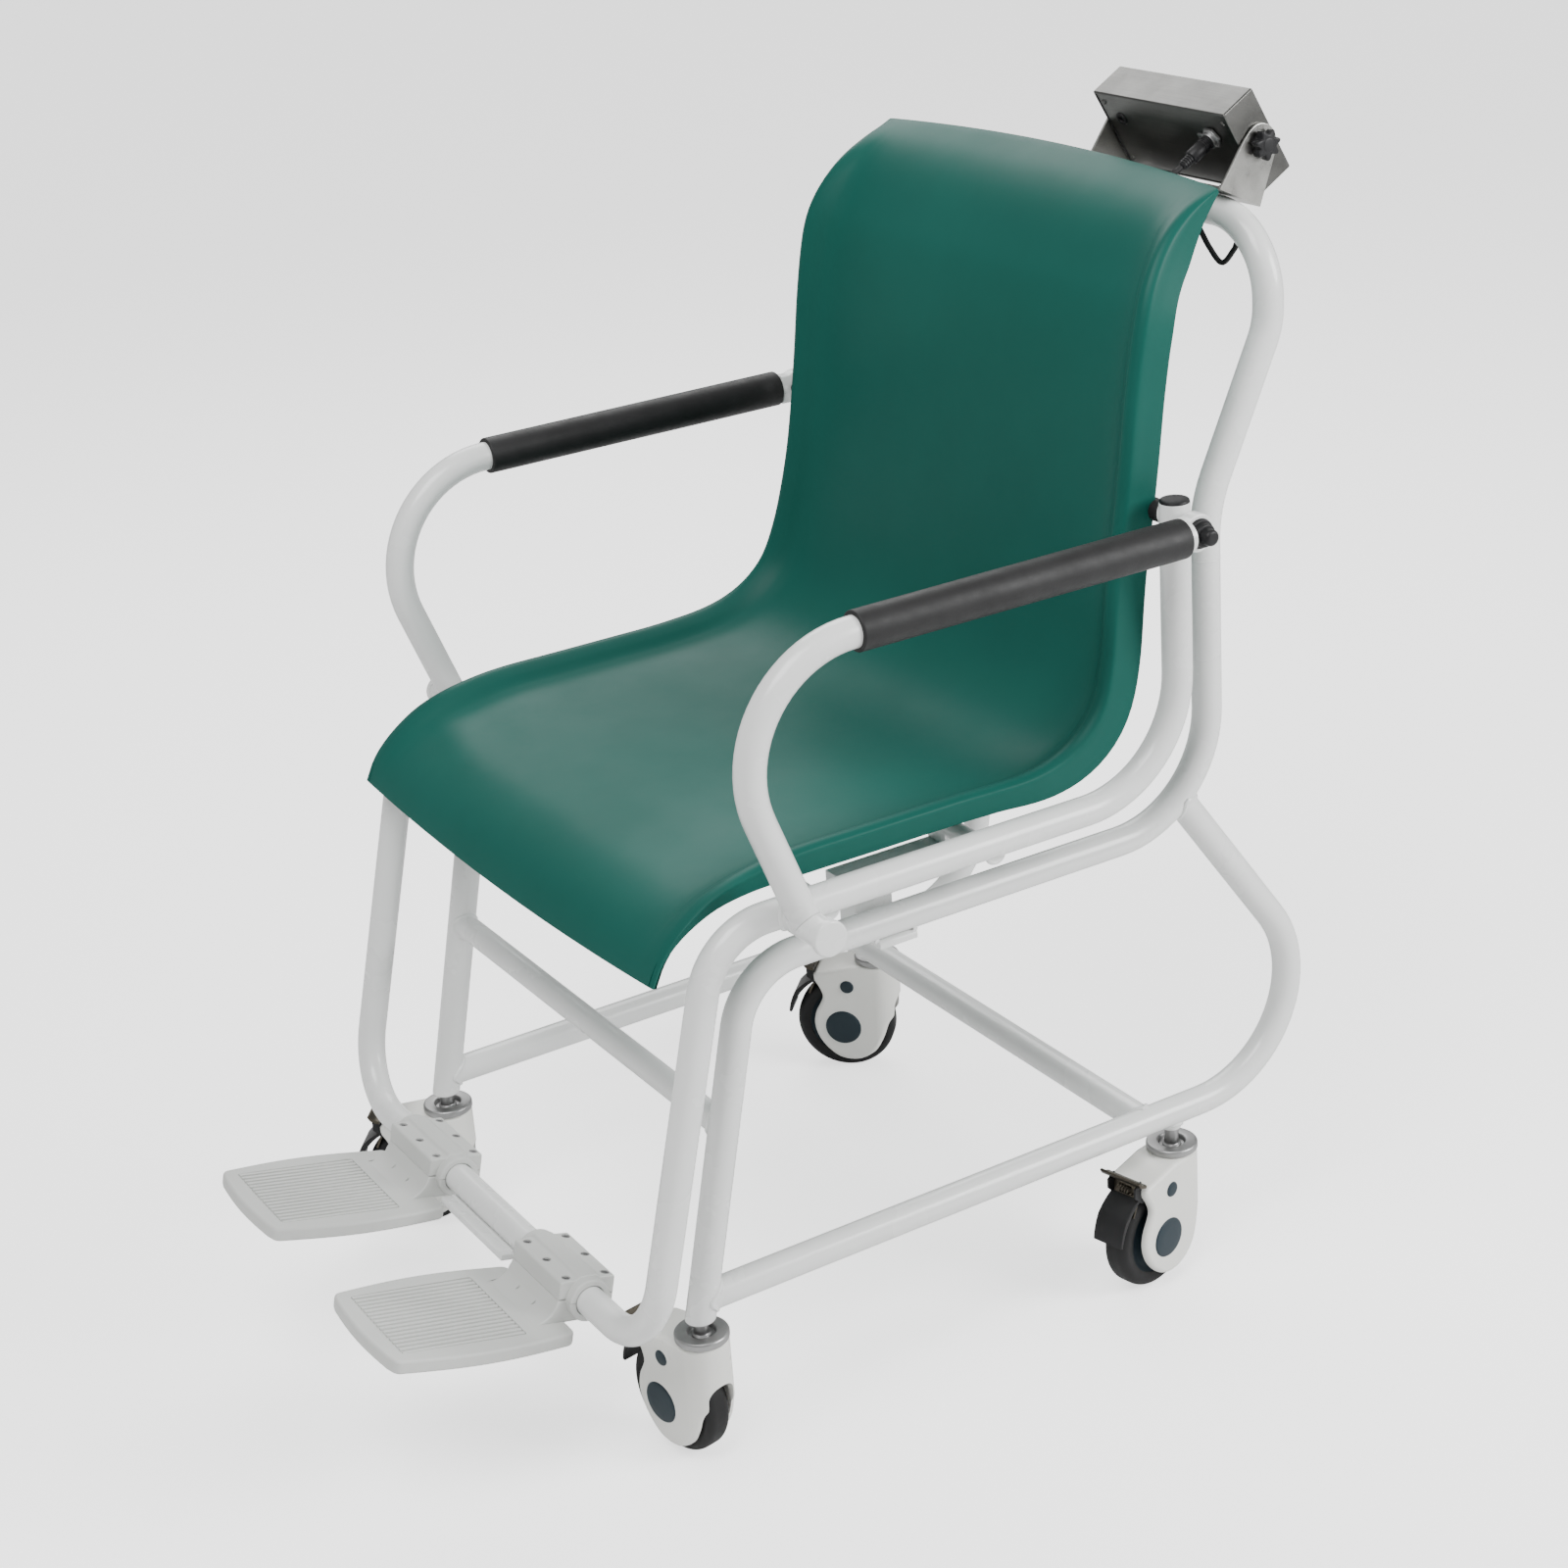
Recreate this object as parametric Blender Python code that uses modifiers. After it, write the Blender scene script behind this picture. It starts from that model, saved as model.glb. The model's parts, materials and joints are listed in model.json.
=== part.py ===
"""Chair scale: a castored tubular base that carries a weighed seat frame.

The base is a tube frame on four braked castors, with a push handle behind it. The seat
frame lies outside and above it on two load cells, and holds a moulded seat, two armrests
that swing up and two footplates that fold up. A tilting indicator sits on the handle.

Lengths are in metres, +Z is up, the sitter faces -Y and the sitter's left is +X.
"""

import math

import bmesh
import bpy
from mathutils import Matrix, Vector

MM = 0.001

# Clearances
GAP = 0.3 * MM
OVERRUN = 5 * MM

# Tubes
TUBE_D = 25 * MM
FRONT_BAR_D = 22 * MM
TUBE_SIDES = 12
BEND_STEP = math.radians(15)
TUBE_R = TUBE_D / 2

# Half widths, which all follow the seat frame's tubes
SEAT_HALF_W = 270 * MM
BASE_INSET = 36 * MM
SHELL_INSET = 30 * MM
ARM_OUTSET = 30 * MM
STUB_OUTSET = 30 * MM
CELL_INSET = 34 * MM
BASE_HALF_W = SEAT_HALF_W - BASE_INSET
SHELL_HALF_W = SEAT_HALF_W - SHELL_INSET
ARM_HALF_W = SEAT_HALF_W + ARM_OUTSET
STUB_REACH = ARM_HALF_W + STUB_OUTSET
CELL_X = BASE_HALF_W - CELL_INSET

# Base side frames: a front leg, an upper rail and an upright in one tube
BASE_LEG_Y = -254 * MM
BASE_LEG_BOTTOM_Z = 124 * MM
BASE_LEG_LEAN = math.radians(12.6)
BASE_RAIL_Z = 415 * MM
BASE_FRONT_BEND_R = 60 * MM
BASE_REAR_BEND_R = 95 * MM
UPRIGHT_Y = 268 * MM
UPRIGHT_TOP_Z = 640 * MM

# Bottom rails, with a loop behind and a diagonal up to the rear bend
BOTTOM_RAIL_Z = 142 * MM
LOOP_CENTRE_Y = 255 * MM
LOOP_R = 98.5 * MM
DIAGONAL_LEAN = math.radians(35.5)
REAR_BAR_Y = 200 * MM
FRONT_BAR_Z = 287 * MM

# Push handle, which stands on the uprights
HANDLE_RISE = 262 * MM
HANDLE_Z = UPRIGHT_TOP_Z + HANDLE_RISE
HANDLE_Y = 335 * MM
HANDLE_KNEE_RISE = 42 * MM
HANDLE_KNEE_Z = UPRIGHT_TOP_Z + HANDLE_KNEE_RISE
HANDLE_KNEE_R = 120 * MM
HANDLE_SHOULDER_DROP = 82 * MM
HANDLE_SHOULDER_Z = HANDLE_Z - HANDLE_SHOULDER_DROP
HANDLE_SHOULDER_R = 60 * MM
HANDLE_CORNER_R = 62 * MM

# Seat frame: upright, rail and front leg in one tube a side
SEAT_RAIL_Z = 472 * MM
SEAT_UPRIGHT_Y = 209 * MM
ARM_Z = 690 * MM
UPRIGHT_OVER_ARM = 19 * MM
SEAT_UPRIGHT_TOP_Z = ARM_Z + UPRIGHT_OVER_ARM
SEAT_REAR_BEND_R = 95 * MM
SEAT_FRONT_BEND_R = 60 * MM
SEAT_LEG_LEAN = math.radians(14)
PLUG_D = 24 * MM
PLUG_H = 2.5 * MM
PLUG_EDGE = 0.8 * MM

# Footrest bar, which the front legs bend into
FOOT_BAR_Y = -318 * MM
FOOT_BAR_Z = 133 * MM
FOOT_BAR_BEND_R = 62 * MM
FOOT_BAR_RISE = 8 * MM
STOP_HALF_L = 53 * MM
STOP_REACH = 30 * MM
STOP_DROP = 15 * MM
STOP_T = 5 * MM

# Armrest stubs
STUB_Y = -168 * MM
STUB_CAP_D = 29 * MM
STUB_CAP_T = 4 * MM

# Armrests
ARM_RISE = ARM_Z - SEAT_RAIL_Z
# The radius of an armrest's front bend, as a share of its rise
ARM_LOOP_SHARE = 0.4312
ARM_FOOT_LEAN = math.radians(20)
ARM_KNEE_Y = STUB_Y - ARM_RISE * math.tan(ARM_FOOT_LEAN)
ARM_LOOP_R = ARM_RISE * ARM_LOOP_SHARE
ARM_BEND_REACH = ARM_LOOP_R * math.tan(math.pi / 4 + ARM_FOOT_LEAN / 2)
ARM_FOOT_LIFT = 5 * MM
ARM_TUBE_END_Y = 198 * MM
GRIP_D = 32 * MM
GRIP_LEAD = 2 * MM
GRIP_FRONT_Y = ARM_KNEE_Y + ARM_BEND_REACH + GRIP_LEAD
GRIP_REAR_Y = 192 * MM
GRIP_EDGE = 1.5 * MM
LUG_R = 13 * MM
LUG_T = 12 * MM
BOLT_D = 8 * MM
BOLT_DEPTH = 20 * MM
BOLT_WASHER_D = 16 * MM
BOLT_KNOB_D = 19 * MM
BOLT_KNOB_T = 14 * MM
BOLT_KNOB_EDGE = 2 * MM

# Seat shell. Its rim is a curve in side view, from the front lip to the top edge.
SHELL_T = 5 * MM
SHELL_RIM = [
    (-279 * MM, 441 * MM), (-270 * MM, 457 * MM), (-254 * MM, 472 * MM),
    (-229 * MM, 488 * MM), (-203 * MM, 497 * MM), (-174 * MM, 503 * MM),
    (-140 * MM, 506 * MM), (-85 * MM, 506 * MM), (-22 * MM, 506 * MM),
    (34 * MM, 506 * MM), (70 * MM, 508 * MM), (98 * MM, 514 * MM),
    (122 * MM, 526 * MM), (138 * MM, 546 * MM), (148 * MM, 580 * MM),
    (156 * MM, 623 * MM), (169 * MM, 688 * MM), (179 * MM, 739 * MM),
    (187 * MM, 790 * MM), (193 * MM, 834 * MM), (200 * MM, 865 * MM),
    (212 * MM, 888 * MM), (229 * MM, 908 * MM), (255 * MM, 922 * MM),
    (283 * MM, 931 * MM),
]
SHELL_DISH = 17 * MM
SHELL_FLANK_SEAT = 27 * MM
SHELL_FLANK_BACK = 37 * MM
SHELL_SEAT_SPREAD = 8 * MM
SHELL_TIP_INSET = 11 * MM
SHELL_CROWN = 13 * MM
SHELL_STATIONS = 30
# Places across half the shell, as shares of its half width, from the middle to the flank
SHELL_ACROSS_SHARES = [0, 0.35, 0.68, 0.82, 0.9, 0.95, 0.985, 1, 1, 1]
# How far each place lies below the rim, as shares of the dish and then of the flank
SHELL_DISH_SHARES = [1, 1, 0.94, 0.68, 0.27, 0.02, 0, 0, 0, 0]
SHELL_FLANK_SHARES = [0, 0, 0, 0, 0, 0, 0.07, 0.28, 0.62, 1]

# Cross beams under the seat, the studs that meet its back and the posts under its dish
BEAM_D = 16 * MM
BEAM_Z = 462 * MM
FRONT_BEAM_Y = -130 * MM
REAR_BEAM_Y = 25 * MM
POST_X = 120 * MM
POST_D = 18 * MM
STUD_OVER_ARM = 7 * MM
STUD_Z = ARM_Z + STUD_OVER_ARM
STUD_D = 14 * MM

# Load cells, and the brackets that carry them on the base rails
CELL_W = 25 * MM
CELL_H = 25 * MM
CELL_L = 115 * MM
CELL_HOLE_D = 16 * MM
CELL_SPAN = 22 * MM
CELL_LIFT = 4 * MM
BRACKET_L = 36 * MM
BRACKET_T = 6 * MM
BRACKET_FOOT_D = 20 * MM
BRACKET_FOOT_H = 12 * MM

# Castors
CASTOR_FRONT_Y = BASE_LEG_Y
CASTOR_REAR_Y = 223 * MM
WHEEL_R = 50 * MM
WHEEL_W = 25 * MM
WHEEL_STEPS = 24
WHEEL_SHOULDER = 7 * MM
AXLE_D = 8 * MM
HUB_CAP_D = 37 * MM
CAP_T = 2 * MM
AXLE_Z = 39.4 * MM
TRAIL = 34 * MM
FORK_W = 44 * MM
FORK_TOP_Z = 107 * MM
FORK_TAIL_Z = 98 * MM
FORK_FRONT_Z = 60 * MM
FORK_ARCH_Z = 71 * MM
FORK_ARCH_W = 28 * MM
FORK_ROOF_T = 10 * MM
FORK_COVER_R = 37 * MM
FORK_COVER_BACK = 3 * MM
WHEEL_ROOM = 4 * MM
WHEEL_ROOM_R = 3 * MM
KINGPIN_D = 12 * MM
KINGPIN_L = 20 * MM
STEM_D = 10 * MM
STEM_L = 15 * MM
NUT_D = 19 * MM
RING_D = 44 * MM
RING_T = 5 * MM
RING_EDGE = 2 * MM
BRAKE_Z = 85 * MM
BRAKE_AHEAD = 6 * MM
BRAKE_PIN_D = 6 * MM
BRAKE_CAP_D = 14 * MM
BRAKE_ARM_R = 5.5 * MM
BRAKE_ARM_T = 2.2 * MM
BRAKE_ROOM = 5 * MM
BRAKE_PAD_L = 9 * MM
BRAKE_PAD_T = 4 * MM
# How each castor stands, as the direction in which its wheel trails
CASTOR_TURNS = {
    "front_left": math.radians(190),
    "front_right": math.radians(232),
    "rear_left": math.radians(-77),
    "rear_right": math.radians(-134),
}

# Footplates
CLAMP_X = 115 * MM
PLATE_OUT = 5 * MM
PLATE_TILT = math.radians(13)
PLATE_TOE = 175 * MM
PLATE_HEEL = 17 * MM
PLATE_TOE_W = 123 * MM
PLATE_HEEL_W = 126 * MM
PLATE_T = 12 * MM
PLATE_CORNER_R = 8 * MM
PLATE_BOW = 6.5 * MM
PLATE_TOE_BOW = 5 * MM
CLAMP_W = 80 * MM
CLAMP_FRONT = 30 * MM
CLAMP_REAR = 26 * MM
CLAMP_H = 19 * MM
COLLAR_D = 37 * MM
COLLAR_L = 9 * MM
GUSSET_L = 24 * MM
RIB_COUNT = 7
RIB_W = 2.4 * MM
RIB_H = 1.2 * MM
RIB_SINK = 1 * MM
RIB_MARGIN = 15 * MM
SCREW_RECESS_D = 7 * MM
SCREW_RECESS_DEPTH = 3 * MM
SCREW_STEP = 30 * MM
SCREW_ROW_Y = 21 * MM

# Indicator, set off from the middle towards the sitter's left
INDICATOR_INSET = 126 * MM
INDICATOR_X = BASE_HALF_W - INDICATOR_INSET
CASE_W = 168 * MM
CASE_D = 34 * MM
CASE_H = 75 * MM
CASE_WALL = 2 * MM
CASE_EDGE = 1.5 * MM
COVER_T = 2.5 * MM
CASE_TILT = math.radians(30.2)
PANEL_W = 152 * MM
PANEL_H = 62 * MM
PANEL_T = 1.5 * MM
WINDOW_W = 96 * MM
WINDOW_H = 28 * MM
WINDOW_UP = 12 * MM
KEY_W = 18 * MM
KEY_H = 11 * MM
KEY_STEP = 32 * MM
KEY_DOWN = 17 * MM
KEY_OUT = 1.5 * MM
KEY_DEPTH = 5 * MM
PORT_D = 9 * MM
PORT_INSET = 22 * MM
PORT_X = PORT_INSET - CASE_W / 2
SOCKET_INSET = 28 * MM
SOCKET_X = CASE_W / 2 - SOCKET_INSET
SOCKET_UP = 16 * MM
SOCKET_D = 17 * MM
SOCKET_L = 6 * MM
CABLE_PLUG_D = 12.5 * MM
CABLE_PLUG_L = 31 * MM
CABLE_PLUG_NECK_D = 7 * MM
CABLE_PLUG_NECK_L = 11 * MM
CABLE_D = 4.6 * MM

# Indicator bracket and its two star knobs
BRACKET_TILT = math.radians(27)
BRACKET_PIVOT_H = 58 * MM
BRACKET_BASE_FRONT = 24 * MM
BRACKET_BASE_REAR = 22 * MM
BRACKET_TOP_R = 16 * MM
BRACKET_SHEET = 2.5 * MM
BRACKET_ROOM = 0.8 * MM
KNOB_D = 25 * MM
KNOB_T = 10 * MM
KNOB_LOBES = 7
KNOB_DIP_SHARE = 0.16
KNOB_SCREW_D = 6 * MM
KNOB_SCREW_L = 10 * MM

# The cable's free stretch: from the plug, down behind the seat's top edge and into the
# handle where its corner bends, at an angle from the bar's end of the bend. The route's
# points are measured from the socket in X and from the handle's bar in Y and Z.
CABLE_LEAD = 5 * MM
CABLE_ENTRY = math.radians(32)
CABLE_ROUTE = [
    (3 * MM, -32 * MM, 12 * MM), (6 * MM, -19 * MM, -8 * MM),
    (12 * MM, -11 * MM, -28 * MM), (20 * MM, -5 * MM, -40 * MM),
]
CABLE_STEPS = 22

# The origin lies on the floor, under the middle of the box round the object
FOOT_Y = FOOT_BAR_Y - (PLATE_TOE + PLATE_TOE_BOW) * math.cos(PLATE_TILT)
PIVOT_Y = HANDLE_Y + BRACKET_PIVOT_H * math.sin(BRACKET_TILT)
PIVOT_Z = HANDLE_Z + BRACKET_PIVOT_H * math.cos(BRACKET_TILT)
PLATE_BOTTOM = CLAMP_H + PLATE_T
FRONT_END_Y = FOOT_Y - PLATE_BOTTOM * math.sin(PLATE_TILT)
REAR_END_Y = PIVOT_Y + (CASE_D * math.cos(CASE_TILT) + CASE_H * math.sin(CASE_TILT)) / 2
REAR_END_Y -= CASE_EDGE * (math.cos(CASE_TILT) + math.sin(CASE_TILT) - 1)
ORIGIN_Y = -(FRONT_END_Y + REAR_END_Y) / 2

SIDES = {"left": 1, "right": -1}
CUTS = "cutters"
PARTS = "chair_scale"


# Scene

def clear_scene():
    for obj in list(bpy.data.objects):
        bpy.data.objects.remove(obj, do_unlink=True)


def collection(name):
    found = bpy.data.collections.get(name)
    if found is None:
        found = bpy.data.collections.new(name)
        bpy.context.scene.collection.children.link(found)
    return found


def root():
    found = bpy.data.objects.get("origin")
    if found is None:
        found = bpy.data.objects.new("origin", None)
        found.location = (0, ORIGIN_Y, floor_drop())
        collection(PARTS).objects.link(found)
    return found


def pivot(name, location, rotation=(0, 0, 0), parent=None):
    """An empty on a joint's axis, which the moving pieces are parented to."""
    empty = bpy.data.objects.new(name, None)
    collection(PARTS).objects.link(empty)
    empty.parent = parent or root()
    empty.location = location
    empty.rotation_euler = rotation
    return empty


def add_object(name, data, mat=None, parent=None, group=PARTS):
    obj = bpy.data.objects.new(name, data)
    collection(group).objects.link(obj)
    obj.parent = parent or root()
    if mat is not None:
        data.materials.append(mat)
    if group == CUTS:
        obj.hide_render = True
        obj.display_type = "WIRE"
    return obj


# Materials

def principled(name, colour, roughness, metallic):
    mat = bpy.data.materials.get(name)
    if mat is None:
        mat = bpy.data.materials.new(name)
        mat.use_nodes = True
        shader = mat.node_tree.nodes["Principled BSDF"]
        shader.inputs["Base Color"].default_value = (*colour, 1)
        shader.inputs["Roughness"].default_value = roughness
        shader.inputs["Metallic"].default_value = metallic
    return mat


def white_paint():
    return principled("white_paint", (0.80, 0.81, 0.80), 0.35, 0)


def green_shell():
    return principled("green_shell", (0.020, 0.125, 0.100), 0.42, 0)


def grey_plastic():
    return principled("grey_plastic", (0.52, 0.53, 0.50), 0.5, 0)


def cream_plastic():
    return principled("cream_plastic", (0.72, 0.72, 0.67), 0.4, 0)


def black_rubber():
    return principled("black_rubber", (0.012, 0.012, 0.013), 0.65, 0)


def black_plastic():
    return principled("black_plastic", (0.015, 0.015, 0.017), 0.4, 0)


def blue_grey_plastic():
    return principled("blue_grey_plastic", (0.035, 0.055, 0.065), 0.45, 0)


def stainless():
    return principled("stainless", (0.50, 0.49, 0.46), 0.3, 1)


def zinc_steel():
    return principled("zinc_steel", (0.42, 0.43, 0.43), 0.35, 1)


def aluminium():
    return principled("aluminium", (0.62, 0.62, 0.63), 0.4, 1)


def window_glass():
    return principled("window_glass", (0.10, 0.13, 0.10), 0.12, 0)


# Modelling tools

def mesh_object(name, bm, mat=None, parent=None, group=PARTS, smooth=None):
    mesh = bpy.data.meshes.new(name)
    bm.to_mesh(mesh)
    bm.free()
    if smooth is not None:
        mesh.shade_smooth()
        mesh.set_sharp_from_angle(angle=smooth)
    return add_object(name, mesh, mat, parent, group)


def box(name, low, high, mat=None, parent=None, group=PARTS, edge=0):
    """A box between two corners, with its edges rounded off where edge is given."""
    low = Vector(low)
    high = Vector(high)
    bm = bmesh.new()
    bmesh.ops.create_cube(bm, size=1)
    size = high - low
    bmesh.ops.scale(bm, vec=size, verts=bm.verts)
    bmesh.ops.translate(bm, vec=(low + high) / 2, verts=bm.verts)
    if edge:
        bmesh.ops.bevel(bm, geom=list(bm.edges), offset=edge, segments=2, profile=0.5,
                        affect="EDGES", material=-1)
    return mesh_object(name, bm, mat, parent, group)


def rod(name, start, end, radius, sides=24, mat=None, parent=None, group=PARTS):
    """A cylinder between two points."""
    start = Vector(start)
    end = Vector(end)
    along = end - start
    bm = bmesh.new()
    bmesh.ops.create_cone(bm, cap_ends=True, segments=sides, radius1=radius,
                          radius2=radius, depth=along.length)
    turn = along.to_track_quat("Z", "Y").to_matrix().to_4x4()
    bmesh.ops.transform(bm, matrix=Matrix.Translation((start + end) / 2) @ turn,
                        verts=bm.verts)
    return mesh_object(name, bm, mat, parent, group, smooth=math.radians(40))


def turned(name, profile, steps, mat=None, parent=None, axis=None, closed=False,
           group=PARTS, phase=0):
    """A profile of (radius, height) pairs, top to bottom on its outer side, spun round Z.

    The object is then turned so that its spin axis lies along the given axis.
    """
    bm = bmesh.new()
    turn = Matrix.Rotation(phase, 4, "Z")
    verts = [bm.verts.new(turn @ Vector((r, 0, z))) for r, z in profile]
    for a, b in zip(verts, verts[1:]):
        bm.edges.new((a, b))
    if closed:
        bm.edges.new((verts[-1], verts[0]))
    obj = mesh_object(name, bm, mat, parent, group)
    screw = obj.modifiers.new("spin", "SCREW")
    screw.steps = steps
    screw.render_steps = steps
    screw.use_merge_vertices = True
    screw.merge_threshold = GAP / 10
    screw.use_smooth_shade = True
    if axis == "X":
        obj.rotation_euler = (0, math.radians(90), 0)
    if axis == "Y":
        obj.rotation_euler = (math.radians(-90), 0, 0)
    return obj


def applied(obj, name=None):
    """The evaluated object as a plain mesh object in its place, with its caps welded."""
    bpy.context.view_layer.update()
    graph = bpy.context.evaluated_depsgraph_get()
    mesh = bpy.data.meshes.new_from_object(obj.evaluated_get(graph))
    bm = bmesh.new()
    bm.from_mesh(mesh)
    bmesh.ops.remove_doubles(bm, verts=bm.verts, dist=GAP / 10)
    bmesh.ops.recalc_face_normals(bm, faces=bm.faces)
    bm.to_mesh(mesh)
    bm.free()
    made = bpy.data.objects.new(name or obj.name, mesh)
    obj.users_collection[0].objects.link(made)
    made.hide_render = obj.hide_render
    made.display_type = obj.display_type
    made.parent = obj.parent
    made.matrix_parent_inverse = obj.matrix_parent_inverse.copy()
    made.matrix_basis = obj.matrix_basis.copy()
    kept = obj.name
    bpy.data.objects.remove(obj, do_unlink=True)
    made.name = name or kept
    mesh.shade_smooth()
    mesh.set_sharp_from_angle(angle=math.radians(40))
    return made


def bent_path(corners, radii):
    """Points along straight runs whose inner corners are rounded with the given radii."""
    corners = [Vector(c) for c in corners]
    points = [corners[0]]
    for before, corner, after, radius in zip(corners, corners[1:], corners[2:], radii):
        back = (before - corner).normalized()
        ahead = (after - corner).normalized()
        turn = math.pi - back.angle(ahead)
        centre = corner + (back + ahead).normalized() * radius / math.cos(turn / 2)
        start = corner + back * radius * math.tan(turn / 2) - centre
        axis = (-back).cross(ahead).normalized()
        count = max(2, math.ceil(turn / BEND_STEP))
        for k in range(count + 1):
            points.append(centre + Matrix.Rotation(turn * k / count, 3, axis) @ start)
    points.append(corners[-1])
    return points


def tube(name, points, diameter, mat=None, parent=None, group=PARTS, sides=TUBE_SIDES):
    """A round bar along the points, as a curve with filled caps."""
    curve = bpy.data.curves.new(name, "CURVE")
    curve.dimensions = "3D"
    curve.bevel_depth = diameter / 2
    curve.bevel_resolution = (sides - 4) // 2
    curve.use_fill_caps = True
    spline = curve.splines.new("POLY")
    spline.points.add(len(points) - 1)
    for place, point in zip(spline.points, points):
        place.co = (*point, 1)
    return add_object(name, curve, mat, parent, group)


def outline_plate(name, outline, thickness, mat=None, parent=None, group=PARTS):
    """A flat outline in XY, thickened both ways from its plane."""
    curve = bpy.data.curves.new(name, "CURVE")
    curve.dimensions = "2D"
    curve.fill_mode = "BOTH"
    curve.extrude = thickness / 2
    spline = curve.splines.new("POLY")
    spline.points.add(len(outline) - 1)
    for place, (x, y) in zip(spline.points, outline):
        place.co = (x, y, 0, 1)
    spline.use_cyclic_u = True
    return add_object(name, curve, mat, parent, group)


def boolean(obj, other, operation):
    step = obj.modifiers.new(other.name, "BOOLEAN")
    step.operation = operation
    step.solver = "EXACT"
    step.object = other


def cut(obj, *others):
    for other in others:
        boolean(obj, other, "DIFFERENCE")


def join(obj, *others):
    for other in others:
        boolean(obj, other, "UNION")


def arc(centre, radius, start, end, count):
    """Points (a, b) on an arc, both ends included."""
    return [
        (centre[0] + radius * math.cos(start + (end - start) * k / count),
         centre[1] + radius * math.sin(start + (end - start) * k / count))
        for k in range(count + 1)
    ]


# Base frame

def base_leg_y(z):
    return BASE_LEG_Y + (z - BASE_LEG_BOTTOM_Z) * math.tan(BASE_LEG_LEAN)


def base_side_path(side):
    x = side * BASE_HALF_W
    low = BASE_LEG_BOTTOM_Z - TUBE_R
    corners = [
        (x, base_leg_y(low), low),
        (x, base_leg_y(BASE_RAIL_Z), BASE_RAIL_Z),
        (x, UPRIGHT_Y, BASE_RAIL_Z),
        (x, UPRIGHT_Y, UPRIGHT_TOP_Z),
    ]
    return bent_path(corners, [BASE_FRONT_BEND_R, BASE_REAR_BEND_R])


def make_base_side(name, side):
    side_tube = applied(tube(name, base_side_path(side), TUBE_D, white_paint()))
    x = side * BASE_HALF_W
    floor_cut = box(name + "_foot", (x - TUBE_D, BASE_LEG_Y - TUBE_D, 0),
                    (x + TUBE_D, BASE_LEG_Y + TUBE_D, BASE_LEG_BOTTOM_Z), group=CUTS)
    bore = rod(name + "_bore", (x, CASTOR_FRONT_Y, BASE_LEG_BOTTOM_Z - OVERRUN),
               (x, CASTOR_FRONT_Y, BASE_LEG_BOTTOM_Z + STEM_L + GAP), STEM_D / 2 + GAP,
               group=CUTS)
    cut(side_tube, floor_cut, bore)
    join(side_tube, *cell_bracket(name, side))


def cell_bracket(name, side):
    """The plate under the base rail, its riser and its foot, which carry a load cell."""
    mid = cell_fixed_y()
    low = BASE_RAIL_Z - TUBE_R - BRACKET_T + BRACKET_T / 4
    top = low + BRACKET_T
    inner = side * (CELL_X - CELL_W / 2)
    outer = side * (BASE_HALF_W + TUBE_R)
    riser = side * (CELL_X + CELL_W / 2)
    plate = box(name + "_plate", (min(inner, outer), mid - BRACKET_L / 2, low),
                (max(inner, outer), mid + BRACKET_L / 2, top), group=CUTS)
    post = box(name + "_riser", (min(inner, riser), mid - BRACKET_L / 2 + GAP, low + GAP),
               (max(inner, riser), mid + BRACKET_L / 2 - GAP, cell_bottom() - GAP),
               group=CUTS)
    foot = rod(name + "_cell_foot", (side * CELL_X, mid, low + BRACKET_T / 2),
               (side * CELL_X, mid, low - BRACKET_FOOT_H), BRACKET_FOOT_D / 2, 16,
               group=CUTS)
    return plate, post, foot


def rear_loop_path(side):
    x = side * BASE_HALF_W
    turn = math.pi / 2 + DIAGONAL_LEAN
    centre_z = BOTTOM_RAIL_Z + LOOP_R
    corner_y = LOOP_CENTRE_Y + LOOP_R * math.tan(turn / 2)
    start_y = LOOP_CENTRE_Y + LOOP_R * math.cos(DIAGONAL_LEAN)
    start_z = centre_z + LOOP_R * math.sin(DIAGONAL_LEAN)
    # The diagonal ends where it meets the centre line of the base's rear bend
    bend_y = UPRIGHT_Y - BASE_REAR_BEND_R
    bend_z = BASE_RAIL_Z + BASE_REAR_BEND_R
    along_y = -math.sin(DIAGONAL_LEAN)
    along_z = math.cos(DIAGONAL_LEAN)
    off_y = start_y - bend_y
    off_z = start_z - bend_z
    half = off_y * along_y + off_z * along_z
    rest = off_y ** 2 + off_z ** 2 - BASE_REAR_BEND_R ** 2
    reach = -half - math.sqrt(half ** 2 - rest)
    corners = [
        (x, base_leg_y(BOTTOM_RAIL_Z), BOTTOM_RAIL_Z),
        (x, corner_y, BOTTOM_RAIL_Z),
        (x, start_y + along_y * reach, start_z + along_z * reach),
    ]
    return bent_path(corners, [LOOP_R])


def make_rear_loop(name, side):
    loop = applied(tube(name, rear_loop_path(side), TUBE_D, white_paint()))
    x = side * BASE_HALF_W
    bore_top = BASE_LEG_BOTTOM_Z + STEM_L + GAP
    boss = rod(name + "_boss", (x, CASTOR_REAR_Y, BASE_LEG_BOTTOM_Z),
               (x, CASTOR_REAR_Y, BOTTOM_RAIL_Z), TUBE_R - 2 * GAP, group=CUTS)
    bore = rod(name + "_bore", (x, CASTOR_REAR_Y, BASE_LEG_BOTTOM_Z - OVERRUN),
               (x, CASTOR_REAR_Y, bore_top), STEM_D / 2 + GAP, group=CUTS)
    clear = applied(tube(name + "_clear", base_side_path(side), TUBE_D + 2 * GAP, group=CUTS))
    join(loop, boss)
    cut(loop, bore, clear)


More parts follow.
